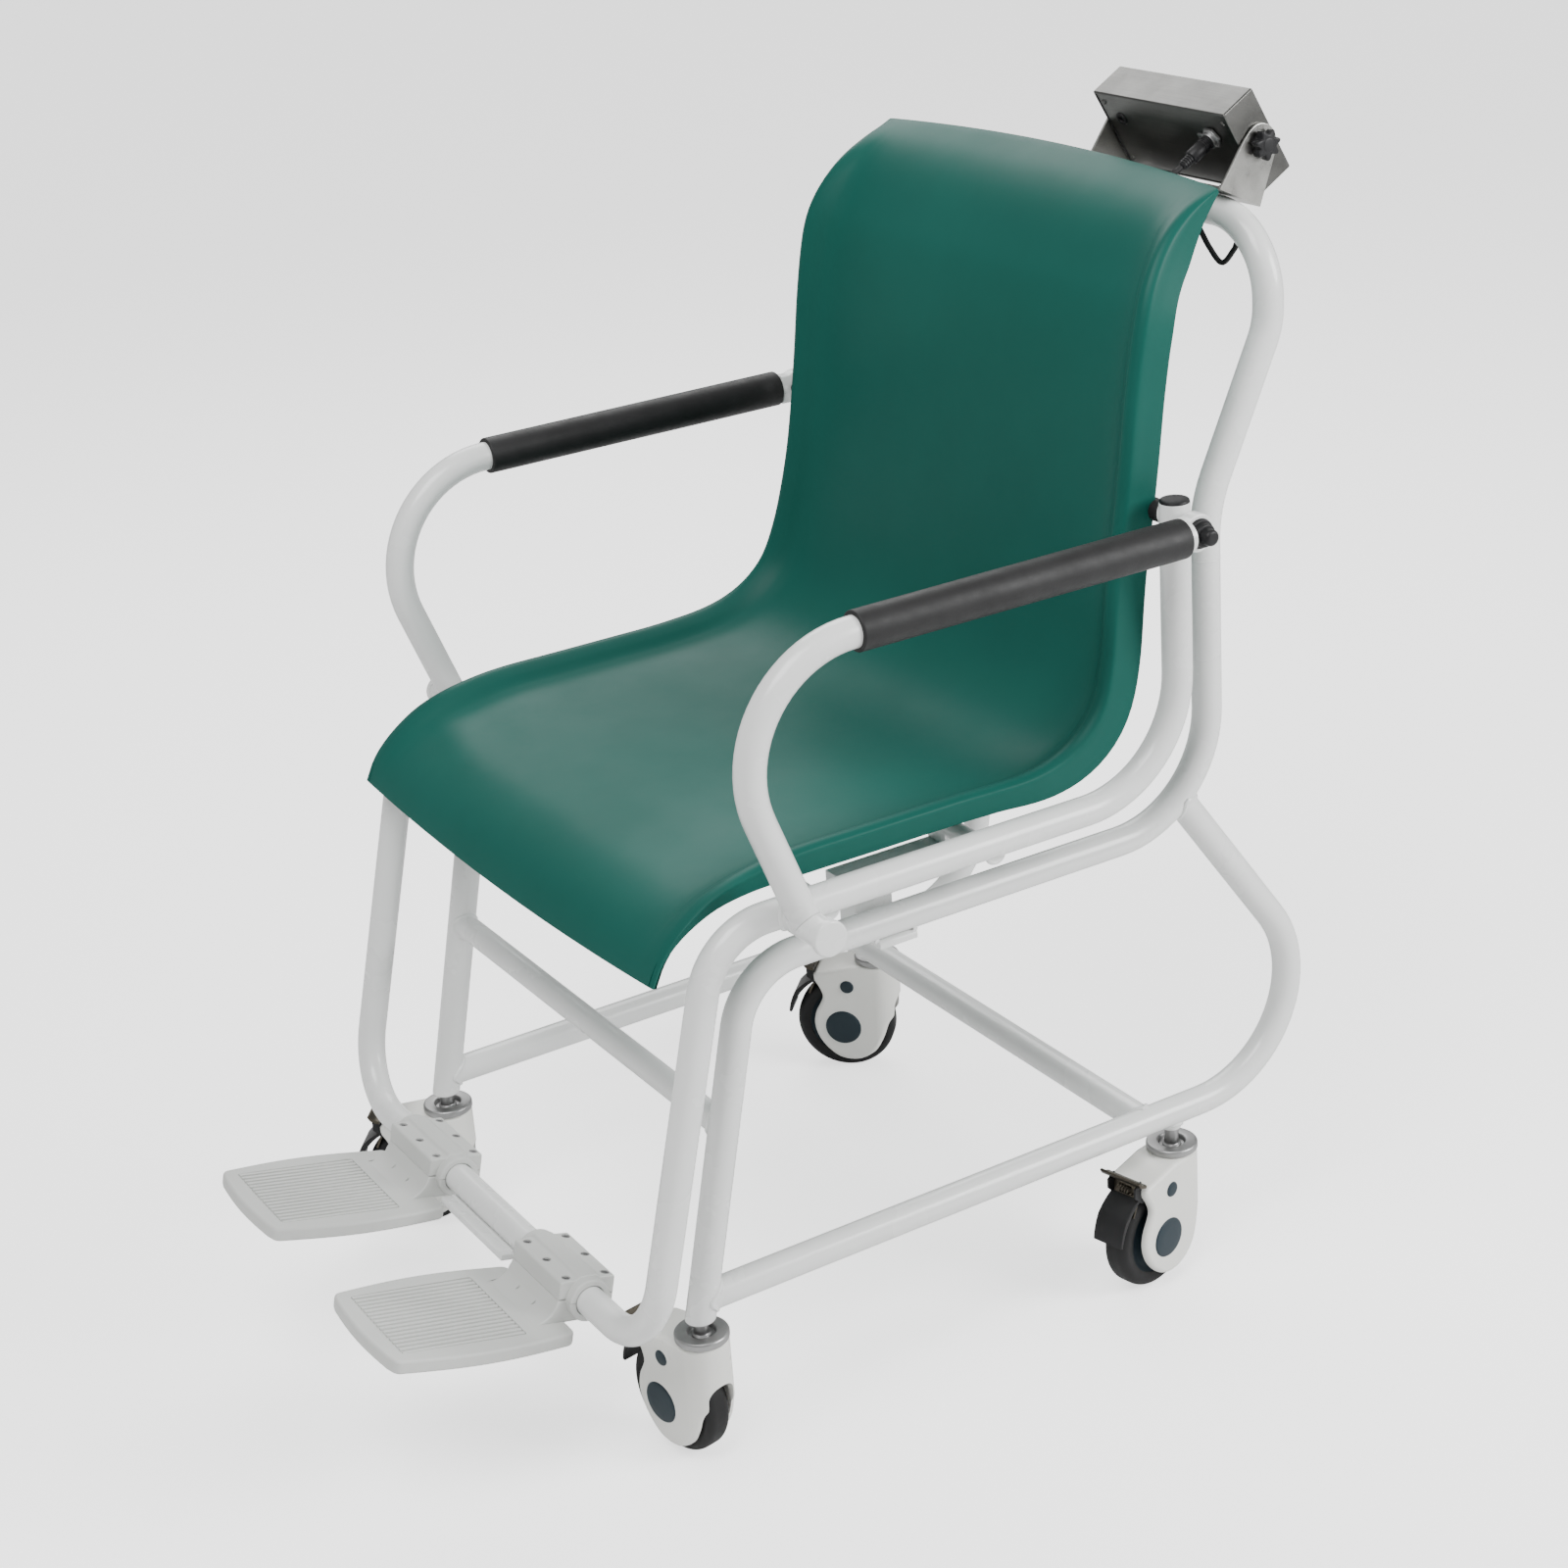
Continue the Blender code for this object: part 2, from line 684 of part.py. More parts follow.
def make_cross_bar(name, y, z, half, diameter, paths):
    """A straight bar between two side tubes, saddled to them."""
    bar = applied(tube(name, [Vector((-half, y, z)), Vector((half, y, z))], diameter,
                       white_paint()))
    for tag, path in paths.items():
        clear = applied(tube(name + "_" + tag, path, TUBE_D + 2 * GAP, group=CUTS))
        cut(bar, clear)
    return bar


def make_push_handle(name):
    low = UPRIGHT_TOP_Z + GAP
    half = [
        (BASE_HALF_W, UPRIGHT_Y, low),
        (BASE_HALF_W, UPRIGHT_Y, HANDLE_KNEE_Z),
        (BASE_HALF_W, HANDLE_Y, HANDLE_SHOULDER_Z),
        (BASE_HALF_W, HANDLE_Y, HANDLE_Z),
    ]
    other = [(-x, y, z) for x, y, z in reversed(half)]
    radii = [HANDLE_KNEE_R, HANDLE_SHOULDER_R, HANDLE_CORNER_R]
    points = bent_path(half + other, radii + radii[::-1])
    return tube(name, points, TUBE_D, white_paint())


# Seat frame

def seat_leg_y(z):
    return FOOT_BAR_Y + (z - FOOT_BAR_Z) * math.tan(SEAT_LEG_LEAN)


def leg_split(lift):
    """The height at which a front leg ends and the footrest bar's bend begins."""
    return FOOT_BAR_Z + (FOOT_BAR_BEND_R + FOOT_BAR_RISE + lift) * math.cos(SEAT_LEG_LEAN)


def seat_frame_path(side):
    x = side * SEAT_HALF_W
    low = leg_split(GAP)
    corners = [
        (x, SEAT_UPRIGHT_Y, SEAT_UPRIGHT_TOP_Z),
        (x, SEAT_UPRIGHT_Y, SEAT_RAIL_Z),
        (x, seat_leg_y(SEAT_RAIL_Z), SEAT_RAIL_Z),
        (x, seat_leg_y(low), low),
    ]
    return bent_path(corners, [SEAT_REAR_BEND_R, SEAT_FRONT_BEND_R])


def make_seat_frame(name, side):
    frame = applied(tube(name, seat_frame_path(side), TUBE_D, white_paint()))
    stub = rod(name + "_stub", (side * SEAT_HALF_W, STUB_Y, SEAT_RAIL_Z),
               (side * STUB_REACH, STUB_Y, SEAT_RAIL_Z), TUBE_R - GAP, group=CUTS)
    cap = rod(name + "_stub_cap", (side * (STUB_REACH - GAP), STUB_Y, SEAT_RAIL_Z),
              (side * (STUB_REACH + STUB_CAP_T), STUB_Y, SEAT_RAIL_Z), STUB_CAP_D / 2,
              group=CUTS)
    stud = rod(name + "_stud", (side * SEAT_HALF_W, SEAT_UPRIGHT_Y, STUD_Z),
               (side * (SHELL_HALF_W + 2 * GAP), SEAT_UPRIGHT_Y, STUD_Z), STUD_D / 2, 16,
               group=CUTS)
    bore = rod(name + "_bore", (side * (bolt_tip() - GAP), SEAT_UPRIGHT_Y, ARM_Z),
               (side * (SEAT_HALF_W + TUBE_D), SEAT_UPRIGHT_Y, ARM_Z), BOLT_D / 2 + GAP, 16,
               group=CUTS)
    join(frame, stub, cap, stud)
    cut(frame, bore)


def make_tube_plug(name, side):
    place = (side * SEAT_HALF_W, SEAT_UPRIGHT_Y, SEAT_UPRIGHT_TOP_Z + GAP)
    profile = [(0, PLUG_H), (PLUG_D / 2 - PLUG_EDGE, PLUG_H), (PLUG_D / 2, PLUG_H - PLUG_EDGE),
               (PLUG_D / 2, 0), (0, 0)]
    plug = turned(name, profile, 20, black_plastic())
    plug.location = place


def make_footrest_bar(name):
    low = leg_split(0)
    corners = [
        (SEAT_HALF_W, seat_leg_y(low), low),
        (SEAT_HALF_W, FOOT_BAR_Y, FOOT_BAR_Z),
        (-SEAT_HALF_W, FOOT_BAR_Y, FOOT_BAR_Z),
        (-SEAT_HALF_W, seat_leg_y(low), low),
    ]
    path = bent_path(corners, [FOOT_BAR_BEND_R, FOOT_BAR_BEND_R])
    bar = applied(tube(name, path, TUBE_D, white_paint()))
    stop = box(name + "_stop", (-STOP_HALF_L, -STOP_REACH, -STOP_DROP),
               (STOP_HALF_L, 0, STOP_T - STOP_DROP), group=CUTS)
    stop.location = (0, FOOT_BAR_Y, FOOT_BAR_Z)
    stop.rotation_euler = (-PLATE_TILT, 0, 0)
    join(bar, stop)


def make_seat_beam(name, y, with_cells):
    half = SEAT_HALF_W
    paths = {"left": seat_frame_path(1), "right": seat_frame_path(-1)}
    beam = make_cross_bar(name, y, BEAM_Z, half, BEAM_D, paths)
    top = shell_floor(y) - GAP
    for tag, side in SIDES.items():
        x = side * POST_X
        post = rod(f"{name}_post_{tag}", (x, y, BEAM_Z), (x, y, top), POST_D / 2, 16,
                   group=CUTS)
        join(beam, post)
        if with_cells:
            x = side * CELL_X
            reach = BEAM_D / 2 + GAP
            pad = box(f"{name}_pad_{tag}", (x - CELL_W / 2, y - reach, cell_top() + GAP),
                      (x + CELL_W / 2, y + reach, BEAM_Z), group=CUTS)
            join(beam, pad)


def cell_top():
    return BEAM_Z - BEAM_D / 2 - CELL_LIFT


def cell_bottom():
    return cell_top() - CELL_H


def cell_rear_y():
    return REAR_BEAM_Y + BEAM_D / 2 + GAP


def cell_fixed_y():
    return cell_rear_y() - CELL_L + BRACKET_L / 2


def make_load_cell(name, side):
    x = side * CELL_X
    rear = cell_rear_y()
    middle = rear - CELL_L / 2
    height = (cell_top() + cell_bottom()) / 2
    cell = box(name, (x - CELL_W / 2, rear - CELL_L, cell_bottom()),
               (x + CELL_W / 2, rear, cell_top()), aluminium())
    for tag, off in (("front", -CELL_SPAN / 2), ("rear", CELL_SPAN / 2)):
        hole = rod(f"{name}_{tag}", (x - CELL_W, middle + off, height),
                   (x + CELL_W, middle + off, height), CELL_HOLE_D / 2, 16, group=CUTS)
        cut(cell, hole)
    slot = box(name + "_slot", (x - CELL_W, middle - CELL_SPAN / 2, height - CELL_HOLE_D / 4),
               (x + CELL_W, middle + CELL_SPAN / 2, height + CELL_HOLE_D / 4), group=CUTS)
    cut(cell, slot)


# Seat shell

def smooth_curve(points, count):
    """Evenly spaced points on the curve that passes smoothly through the given points."""
    points = [Vector(p) for p in points]
    ends = [2 * points[0] - points[1]] + points + [2 * points[-1] - points[-2]]
    dense = []
    fine = 24
    for a, b, c, d in zip(ends, ends[1:], ends[2:], ends[3:]):
        for k in range(fine):
            t = k / fine
            dense.append(0.5 * (2 * b + (c - a) * t + (2 * a - 5 * b + 4 * c - d) * t ** 2
                                + (3 * b - a - 3 * c + d) * t ** 3))
    dense.append(points[-1])
    lengths = [0]
    for a, b in zip(dense, dense[1:]):
        lengths.append(lengths[-1] + (b - a).length)
    out = []
    i = 0
    for k in range(count):
        want = lengths[-1] * k / (count - 1)
        while i < len(lengths) - 2 and lengths[i + 1] < want:
            i += 1
        span = lengths[i + 1] - lengths[i]
        out.append(dense[i].lerp(dense[i + 1], (want - lengths[i]) / span))
    return out


def shell_floor(y):
    """The height of the seat's underside in the middle of the shell, over its flat part."""
    level = max(z for _, z in SHELL_RIM[:7])
    return level - SHELL_DISH - SHELL_T


def smoothstep(low, high, value):
    t = min(max((value - low) / (high - low), 0), 1)
    return t * t * (3 - 2 * t)


def make_seat_shell(name):
    rim = smooth_curve([(0, y, z) for y, z in SHELL_RIM], SHELL_STATIONS)
    half = SHELL_ACROSS_SHARES
    columns = len(half) * 2 - 1
    bm = bmesh.new()
    bmesh.ops.create_grid(bm, x_segments=columns - 1, y_segments=SHELL_STATIONS - 1, size=1)
    for vert in bm.verts:
        column = round((vert.co.x + 1) / 2 * (columns - 1))
        row = round((vert.co.y + 1) / 2 * (SHELL_STATIONS - 1))
        vert.co = shell_point(rim, row, column - (len(half) - 1))
    shell = mesh_object(name, bm, green_shell(), smooth=math.radians(50))
    skin = shell.modifiers.new("wall", "SOLIDIFY")
    skin.thickness = SHELL_T
    skin.offset = -1
    skin.use_even_offset = False


def shell_point(rim, row, place):
    """A point of the seat's upper face, at a station along the rim and a place across it."""
    share = row / (len(rim) - 1)
    before = rim[max(row - 1, 0)]
    after = rim[min(row + 1, len(rim) - 1)]
    along = (after - before).normalized()
    up = Vector((0, -along.z, along.y))
    across = SHELL_ACROSS_SHARES[abs(place)]
    fade = smoothstep(0, 0.14, share) * smoothstep(0, 0.12, 1 - share)
    back = smoothstep(0.38, 0.5, share)
    flank = (SHELL_FLANK_SEAT * (1 - back) + SHELL_FLANK_BACK * back)
    top_end = math.sin(min((1 - share) / 0.08, 1) * math.pi / 2)
    flank *= 0.12 + 0.88 * smoothstep(0, 0.2, share) * top_end
    drop = SHELL_DISH * SHELL_DISH_SHARES[abs(place)] * fade
    drop += flank * SHELL_FLANK_SHARES[abs(place)]
    side = -1 if place < 0 else 1
    half = SHELL_HALF_W + SHELL_SEAT_SPREAD * (1 - smoothstep(0.3, 0.6, share))
    half -= SHELL_TIP_INSET * smoothstep(0.9, 1, share)
    width = half * across
    crown = SHELL_CROWN * (1 - across ** 2) * smoothstep(0.84, 1, share)
    point = rim[row] - up * drop + along * crown
    return Vector((side * width, point.y, point.z))


# Armrests

def arm_path(side):
    x = side * ARM_HALF_W
    start_y = STUB_Y - ARM_FOOT_LIFT * math.sin(ARM_FOOT_LEAN)
    start_z = SEAT_RAIL_Z + ARM_FOOT_LIFT * math.cos(ARM_FOOT_LEAN)
    corners = [(x, start_y, start_z), (x, ARM_KNEE_Y, ARM_Z), (x, ARM_TUBE_END_Y, ARM_Z)]
    return bent_path(corners, [ARM_LOOP_R])


def lug_inner():
    return ARM_HALF_W - LUG_T


def bolt_tip():
    return lug_inner() - BOLT_DEPTH - TUBE_R / 4


def make_arm(name, side, parent):
    arm = applied(tube(name, arm_path(side), TUBE_D, white_paint(), parent))
    saddle = rod(name + "_saddle", (side * SEAT_HALF_W, STUB_Y, SEAT_RAIL_Z),
                 (side * (STUB_REACH + OVERRUN), STUB_Y, SEAT_RAIL_Z), TUBE_R + GAP / 2,
                 parent=parent, group=CUTS)
    low = min(side * lug_inner(), side * ARM_HALF_W)
    high = max(side * lug_inner(), side * ARM_HALF_W)
    bar = box(name + "_lug", (low, GRIP_REAR_Y + GAP, ARM_Z - LUG_R),
              (high, SEAT_UPRIGHT_Y, ARM_Z + LUG_R), parent=parent, group=CUTS)
    eye = rod(name + "_eye", (side * lug_inner(), SEAT_UPRIGHT_Y, ARM_Z),
              (side * ARM_HALF_W, SEAT_UPRIGHT_Y, ARM_Z), LUG_R, parent=parent, group=CUTS)
    bore = rod(name + "_bore", (side * (lug_inner() - OVERRUN), SEAT_UPRIGHT_Y, ARM_Z),
               (side * (ARM_HALF_W + OVERRUN), SEAT_UPRIGHT_Y, ARM_Z), BOLT_D / 2 + GAP, 16,
               parent=parent, group=CUTS)
    join(arm, bar, eye)
    cut(arm, saddle, bore)
    for piece in (saddle, bar, eye, bore):
        in_frame(piece, parent)
    in_frame(arm, parent)


def in_frame(obj, parent):
    """Keeps a piece that is modelled in the object's frame in place under a pivot."""
    obj.location = obj.location - parent.location


def make_grip(name, side, parent):
    outer = GRIP_D / 2
    inner = TUBE_R + GAP
    length = GRIP_REAR_Y - GRIP_FRONT_Y
    profile = [(inner, length), (outer - GRIP_EDGE, length), (outer, length - GRIP_EDGE),
               (outer, GRIP_EDGE), (outer - GRIP_EDGE, 0), (inner, 0)]
    grip = turned(name, profile, 18, black_rubber(), parent, "Y", closed=True)
    grip.location = (side * ARM_HALF_W, GRIP_FRONT_Y, ARM_Z)
    in_frame(grip, parent)


def make_arm_bolt(name, side):
    tip = bolt_tip()
    frame_face = SEAT_HALF_W + TUBE_R + GAP
    arm_face = lug_inner() - GAP
    knob_face = ARM_HALF_W + GAP
    end = knob_face + BOLT_KNOB_T
    r = BOLT_D / 2
    profile = [
        (0, end), (BOLT_KNOB_D / 2 - BOLT_KNOB_EDGE, end),
        (BOLT_KNOB_D / 2, end - BOLT_KNOB_EDGE), (BOLT_KNOB_D / 2, knob_face),
        (r, knob_face), (r, arm_face), (BOLT_WASHER_D / 2, arm_face),
        (BOLT_WASHER_D / 2, frame_face), (r, frame_face), (r, tip), (0, tip),
    ]
    bolt = turned(name, profile, 16, black_plastic(), axis="X")
    bolt.location = (0, SEAT_UPRIGHT_Y, ARM_Z)
    if side < 0:
        bolt.rotation_euler = (0, math.radians(-90), 0)


# Footplates, each in a frame at the bar with -Y towards the toe

def plate_outline():
    """The footplate seen from above: a tapered outline with bowed sides and round corners."""
    r = PLATE_CORNER_R
    toe = -PLATE_TOE
    heel = -PLATE_HEEL
    toe_x = PLATE_TOE_W / 2
    heel_x = PLATE_HEEL_W / 2
    quarter = math.pi / 2
    points = [(toe_x * share, toe - PLATE_TOE_BOW * math.cos(share * quarter))
              for share in (-0.75, -0.4, 0, 0.4, 0.75)]
    points += arc((toe_x - r, toe + r), r, -quarter, 0, 4)
    for k in range(1, 6):
        share = k / 6
        bow = PLATE_BOW * math.sin(math.pi * share)
        points.append((toe_x + (heel_x - toe_x) * share + bow,
                       toe + r + (heel - toe - 2 * r) * share))
    points += arc((heel_x - r, heel - r), r, 0, quarter, 4)
    points += arc((r - heel_x, heel - r), r, quarter, 2 * quarter, 4)
    for k in range(5, 0, -1):
        share = k / 6
        bow = PLATE_BOW * math.sin(math.pi * share)
        points.append((-toe_x - (heel_x - toe_x) * share - bow,
                       toe + r + (heel - toe - 2 * r) * share))
    points += arc((r - toe_x, toe + r), r, 2 * quarter, 3 * quarter, 4)
    return points


def make_footplate(name, side, parent):
    top = -CLAMP_H
    out = side * PLATE_OUT
    plate = applied(outline_plate(name, plate_outline(), PLATE_T, grey_plastic(), parent))
    for vert in plate.data.vertices:
        vert.co.x += out
        vert.co.z += top - PLATE_T / 2
    block = box(name + "_block", (-CLAMP_W / 2, -CLAMP_FRONT, -CLAMP_H - RIB_SINK),
                (CLAMP_W / 2, CLAMP_REAR, 0), parent=parent, group=CUTS)
    collar = clamp_collar(name, parent)
    wedge = gusset(name + "_gusset", parent)
    ribs = []
    span = PLATE_HEEL_W - 2 * RIB_MARGIN
    for k in range(RIB_COUNT):
        x = out + span * (k / (RIB_COUNT - 1) - 0.5)
        ribs.append(box(f"{name}_rib_{k}", (x - RIB_W / 2, -PLATE_TOE + RIB_MARGIN,
                                            top - RIB_SINK),
                        (x + RIB_W / 2, -CLAMP_FRONT - GUSSET_L - RIB_W, top + RIB_H),
                        parent=parent, group=CUTS))
    join(plate, block, collar, wedge, *ribs)
    upper = box(name + "_upper", (-CLAMP_W, -PLATE_TOE, -GAP / 2),
                (CLAMP_W, PLATE_TOE, COLLAR_D), parent=parent, group=CUTS)
    cut(plate, clamp_bore(name, parent), upper)


def clamp_collar(name, parent):
    reach = CLAMP_W / 2 + COLLAR_L
    return rod(name + "_collar", (-reach, 0, 0), (reach, 0, 0), COLLAR_D / 2, 20,
               parent=parent, group=CUTS)


def clamp_bore(name, parent):
    reach = CLAMP_W / 2 + COLLAR_L + OVERRUN
    return rod(name + "_bore", (-reach, 0, 0), (reach, 0, 0), TUBE_R + 2 * GAP, 20,
               parent=parent, group=CUTS)


def gusset(name, parent):
    """The sloped web in front of the clamp block, down to the plate."""
    bm = bmesh.new()
    bmesh.ops.create_cube(bm, size=1)
    bmesh.ops.scale(bm, vec=(CLAMP_W - 4 * GAP, GUSSET_L + GAP, CLAMP_H + RIB_SINK - GAP),
                    verts=bm.verts)
    bmesh.ops.translate(bm, vec=(0, -CLAMP_FRONT - GUSSET_L / 2 + GAP / 2,
                                 -(CLAMP_H + RIB_SINK + GAP) / 2), verts=bm.verts)
    for vert in bm.verts:
        if vert.co.y < -CLAMP_FRONT - GUSSET_L / 2 and vert.co.z > -CLAMP_H / 2:
            vert.co.z = -CLAMP_H + RIB_SINK
    return mesh_object(name, bm, parent=parent, group=CUTS)


def make_footplate_clamp(name, parent):
    cap = box(name, (-CLAMP_W / 2, -CLAMP_FRONT, GAP / 2),
              (CLAMP_W / 2, CLAMP_REAR, CLAMP_H), grey_plastic(), parent)
    collar = clamp_collar(name, parent)
    lower = box(name + "_lower", (-CLAMP_W, -CLAMP_W, -COLLAR_D), (CLAMP_W, CLAMP_W, GAP / 2),
                parent=parent, group=CUTS)
    join(cap, collar)
    cut(cap, clamp_bore(name, parent), lower)
    for row, y in (("toe", -SCREW_ROW_Y), ("heel", SCREW_ROW_Y)):
        for k in (-1, 0, 1):
            x = k * SCREW_STEP
            cut(cap, rod(f"{name}_{row}_{k + 1}", (x, y, CLAMP_H - SCREW_RECESS_DEPTH),
                         (x, y, CLAMP_H + OVERRUN), SCREW_RECESS_D / 2, 8, parent=parent,
                         group=CUTS))


# Castors, each in a frame on its kingpin with the wheel trailing along +X

def floor_drop():
    """How far the floor lies below the level from which the heights are measured."""
    return WHEEL_R * math.cos(math.pi / WHEEL_STEPS) - AXLE_Z


def make_castor_stem(name, x, y):
    top = BASE_LEG_BOTTOM_Z
    ring = FORK_TOP_Z + GAP
    profile = [
        (0, top + STEM_L), (STEM_D / 2, top + STEM_L), (STEM_D / 2, top - GAP),
        (NUT_D / 2, top - GAP), (NUT_D / 2, ring + RING_T),
        (RING_D / 2 - RING_EDGE, ring + RING_T - RING_EDGE / 2),
        (RING_D / 2, ring + RING_T - RING_EDGE), (RING_D / 2, ring),
        (KINGPIN_D / 2, ring), (KINGPIN_D / 2, ring - KINGPIN_L), (0, ring - KINGPIN_L),
    ]
    stem = turned(name, profile, 14, zinc_steel())
    stem.location = (x, y, 0)


def fork_tail():
    return TRAIL + FORK_COVER_R * 0.72


def fork_outline():
    """The fork seen from the side, as (trail, height) pairs."""
    r = FORK_COVER_R
    u = TRAIL - FORK_COVER_BACK
    front = -FORK_W / 2
    tail = fork_tail()
    points = [(front, FORK_TOP_Z), (front, FORK_FRONT_Z)]
    points += arc((u, AXLE_Z), r, math.radians(215), math.radians(390), 8)
    points += [(u + r * 0.7, AXLE_Z + r * 0.75), (u + r * 0.62, AXLE_Z + r * 0.95),
               (u + r * 0.7, AXLE_Z + r * 1.2), (tail, FORK_TAIL_Z - FORK_ROOF_T * 0.7),
               (tail, FORK_TAIL_Z), (-front, FORK_TOP_Z)]
    return points


def make_castor_fork(name, parent):
    side_view = outline_plate(name, fork_outline(), FORK_W, cream_plastic(), parent)
    side_view.rotation_euler = (math.radians(90), 0, 0)
    fork = applied(side_view)
    quarter = math.pi / 2
    plan = arc((0, 0), FORK_W / 2, quarter, 3 * quarter, 8)
    reach = TRAIL + 2 * FORK_COVER_R
    plan += [(reach, -FORK_W / 2), (reach, FORK_W / 2)]
    plan_cut = applied(outline_plate(name + "_plan", plan, 4 * FORK_TOP_Z, parent=parent,
                                     group=CUTS))
    boolean(fork, plan_cut, "INTERSECT")
    half = WHEEL_W / 2 + WHEEL_ROOM
    room = rod(name + "_room", (TRAIL, -half, AXLE_Z), (TRAIL, half, AXLE_Z),
               WHEEL_R + WHEEL_ROOM_R, 20, parent=parent, group=CUTS)
    slot = FORK_ARCH_W / 2
    arch = box(name + "_arch", (-FORK_W, -slot, -OVERRUN), (TRAIL, slot, FORK_ARCH_Z),
               parent=parent, group=CUTS)
    rear = box(name + "_rear", (TRAIL, -half, -OVERRUN),
               (reach, half, FORK_TAIL_Z - FORK_ROOF_T), parent=parent, group=CUTS)
    pin = rod(name + "_pin", (0, 0, FORK_TOP_Z - KINGPIN_L - GAP),
              (0, 0, FORK_TOP_Z + OVERRUN), KINGPIN_D / 2 + GAP, 14, parent=parent,
              group=CUTS)
    axle = rod(name + "_axle", (TRAIL, -FORK_W, AXLE_Z), (TRAIL, FORK_W, AXLE_Z),
               AXLE_D / 2 + GAP, 12, parent=parent, group=CUTS)
    x = TRAIL - BRAKE_AHEAD
    brake = rod(name + "_brake", (x, -FORK_W, BRAKE_Z), (x, FORK_W, BRAKE_Z),
                BRAKE_PIN_D / 2 + GAP, 10, parent=parent, group=CUTS)
    cut(fork, room, arch, rear, pin, axle, brake)


def make_castor_wheel(name, parent):
    half = WHEEL_W / 2
    bore = AXLE_D / 2 + GAP
    profile = [
        (bore, half), (WHEEL_R - WHEEL_SHOULDER, half), (WHEEL_R, half - WHEEL_SHOULDER),
        (WHEEL_R, WHEEL_SHOULDER - half), (WHEEL_R - WHEEL_SHOULDER, -half), (bore, -half),
    ]
    wheel = turned(name, profile, WHEEL_STEPS, black_rubber(), parent, "Y", closed=True,
                   phase=math.pi / 2 + math.pi / WHEEL_STEPS)
    return wheel


def capped_pin(name, half_span, pin_d, cap_d, steps, mat, parent):
    """A pin along Y with a flat round cap on each end."""
    face = half_span + GAP
    end = face + CAP_T
    profile = [
        (0, end), (cap_d / 2 - CAP_T / 2, end), (cap_d / 2, face), (pin_d / 2, face),
        (pin_d / 2, -face), (cap_d / 2, -face), (cap_d / 2 - CAP_T / 2, -end), (0, -end),
    ]
    return turned(name, profile, steps, mat, parent, "Y")


def make_castor_axle(name, parent):
    axle = capped_pin(name, FORK_W / 2, AXLE_D, HUB_CAP_D, 14, blue_grey_plastic(), parent)
    axle.location = (TRAIL, 0, AXLE_Z)


def brake_outline():
    """The brake seen from the side, from its pin: an arm, a shoe and the pad's root."""
    r = BRAKE_ARM_R
    back = fork_tail() + GAP * 4 - TRAIL + BRAKE_AHEAD
    top = FORK_TOP_Z - BRAKE_Z
    low = FORK_TAIL_Z - FORK_ROOF_T - GAP * 2 - BRAKE_Z
    reach = WHEEL_R + BRAKE_ROOM
    points = arc((0, 0), r, math.radians(300), math.radians(120), 6)
    points[-1] = (points[-1][0], low)
    points += [(back, low), (back, top), (back + BRAKE_PAD_T, top),
               (back + reach * 0.2, top * 0.55), (back + reach * 0.44, -reach * 0.45),
               (back + reach * 0.4, -reach * 0.6), (back + reach * 0.3, -reach * 0.6)]
    return points


def make_castor_brake(name, parent):
    """The brake, in a frame on its own pin: two arms by the wheel, a shoe and a foot pad."""
    outer = WHEEL_W / 2 + WHEEL_ROOM - 2 * GAP
    inner = outer - BRAKE_ARM_T
    side_view = outline_plate(name, brake_outline(), 2 * outer, black_plastic(), parent)
    side_view.rotation_euler = (math.radians(90), 0, 0)
    brake = applied(side_view)
    x = BRAKE_AHEAD
    z = AXLE_Z - BRAKE_Z
    room = rod(name + "_room", (x, -inner, z), (x, inner, z), WHEEL_R + BRAKE_ROOM, 32,
               parent=parent, group=CUTS)
    between = box(name + "_between", (-FORK_W, -inner, -FORK_W),
                  (fork_tail() - TRAIL + x, inner, FORK_W), parent=parent, group=CUTS)
    cut(brake, room, between)
    for tag, side in SIDES.items():
        face = side * (FORK_W / 2 + GAP)
        pin = rod(f"{name}_pin_{tag}", (0, side * inner, 0), (0, face + side * GAP, 0),
                  BRAKE_PIN_D / 2, 10, parent=parent, group=CUTS)
        cap = rod(f"{name}_cap_{tag}", (0, face, 0), (0, face + side * CAP_T, 0),
                  BRAKE_CAP_D / 2, 14, parent=parent, group=CUTS)
        join(brake, pin, cap)
    back = fork_tail() + GAP * 4 - TRAIL + x
    top = FORK_TOP_Z - BRAKE_Z
    pad = box(name + "_pad", (back, -FORK_W / 2, top - BRAKE_PAD_T),
              (back + BRAKE_PAD_L, FORK_W / 2, top), parent=parent, group=CUTS)
    join(brake, pad)


def make_castor(tag, x, y):
    make_castor_stem("castor_stem_" + tag, x, y)
    swivel = pivot("swivel_" + tag, (x, y, 0), (0, 0, CASTOR_TURNS[tag]))
    make_castor_fork("castor_fork_" + tag, swivel)
    make_castor_axle("castor_axle_" + tag, swivel)
    wheel_pivot = pivot("axle_" + tag, (TRAIL, 0, AXLE_Z), parent=swivel)
    make_castor_wheel("castor_wheel_" + tag, wheel_pivot)
    brake_pivot = pivot("brake_" + tag, (TRAIL - BRAKE_AHEAD, 0, BRAKE_Z), parent=swivel)
    make_castor_brake("castor_brake_" + tag, brake_pivot)


# Indicator, in a frame on its tilt axis with +Y out of the display and +Z up its face

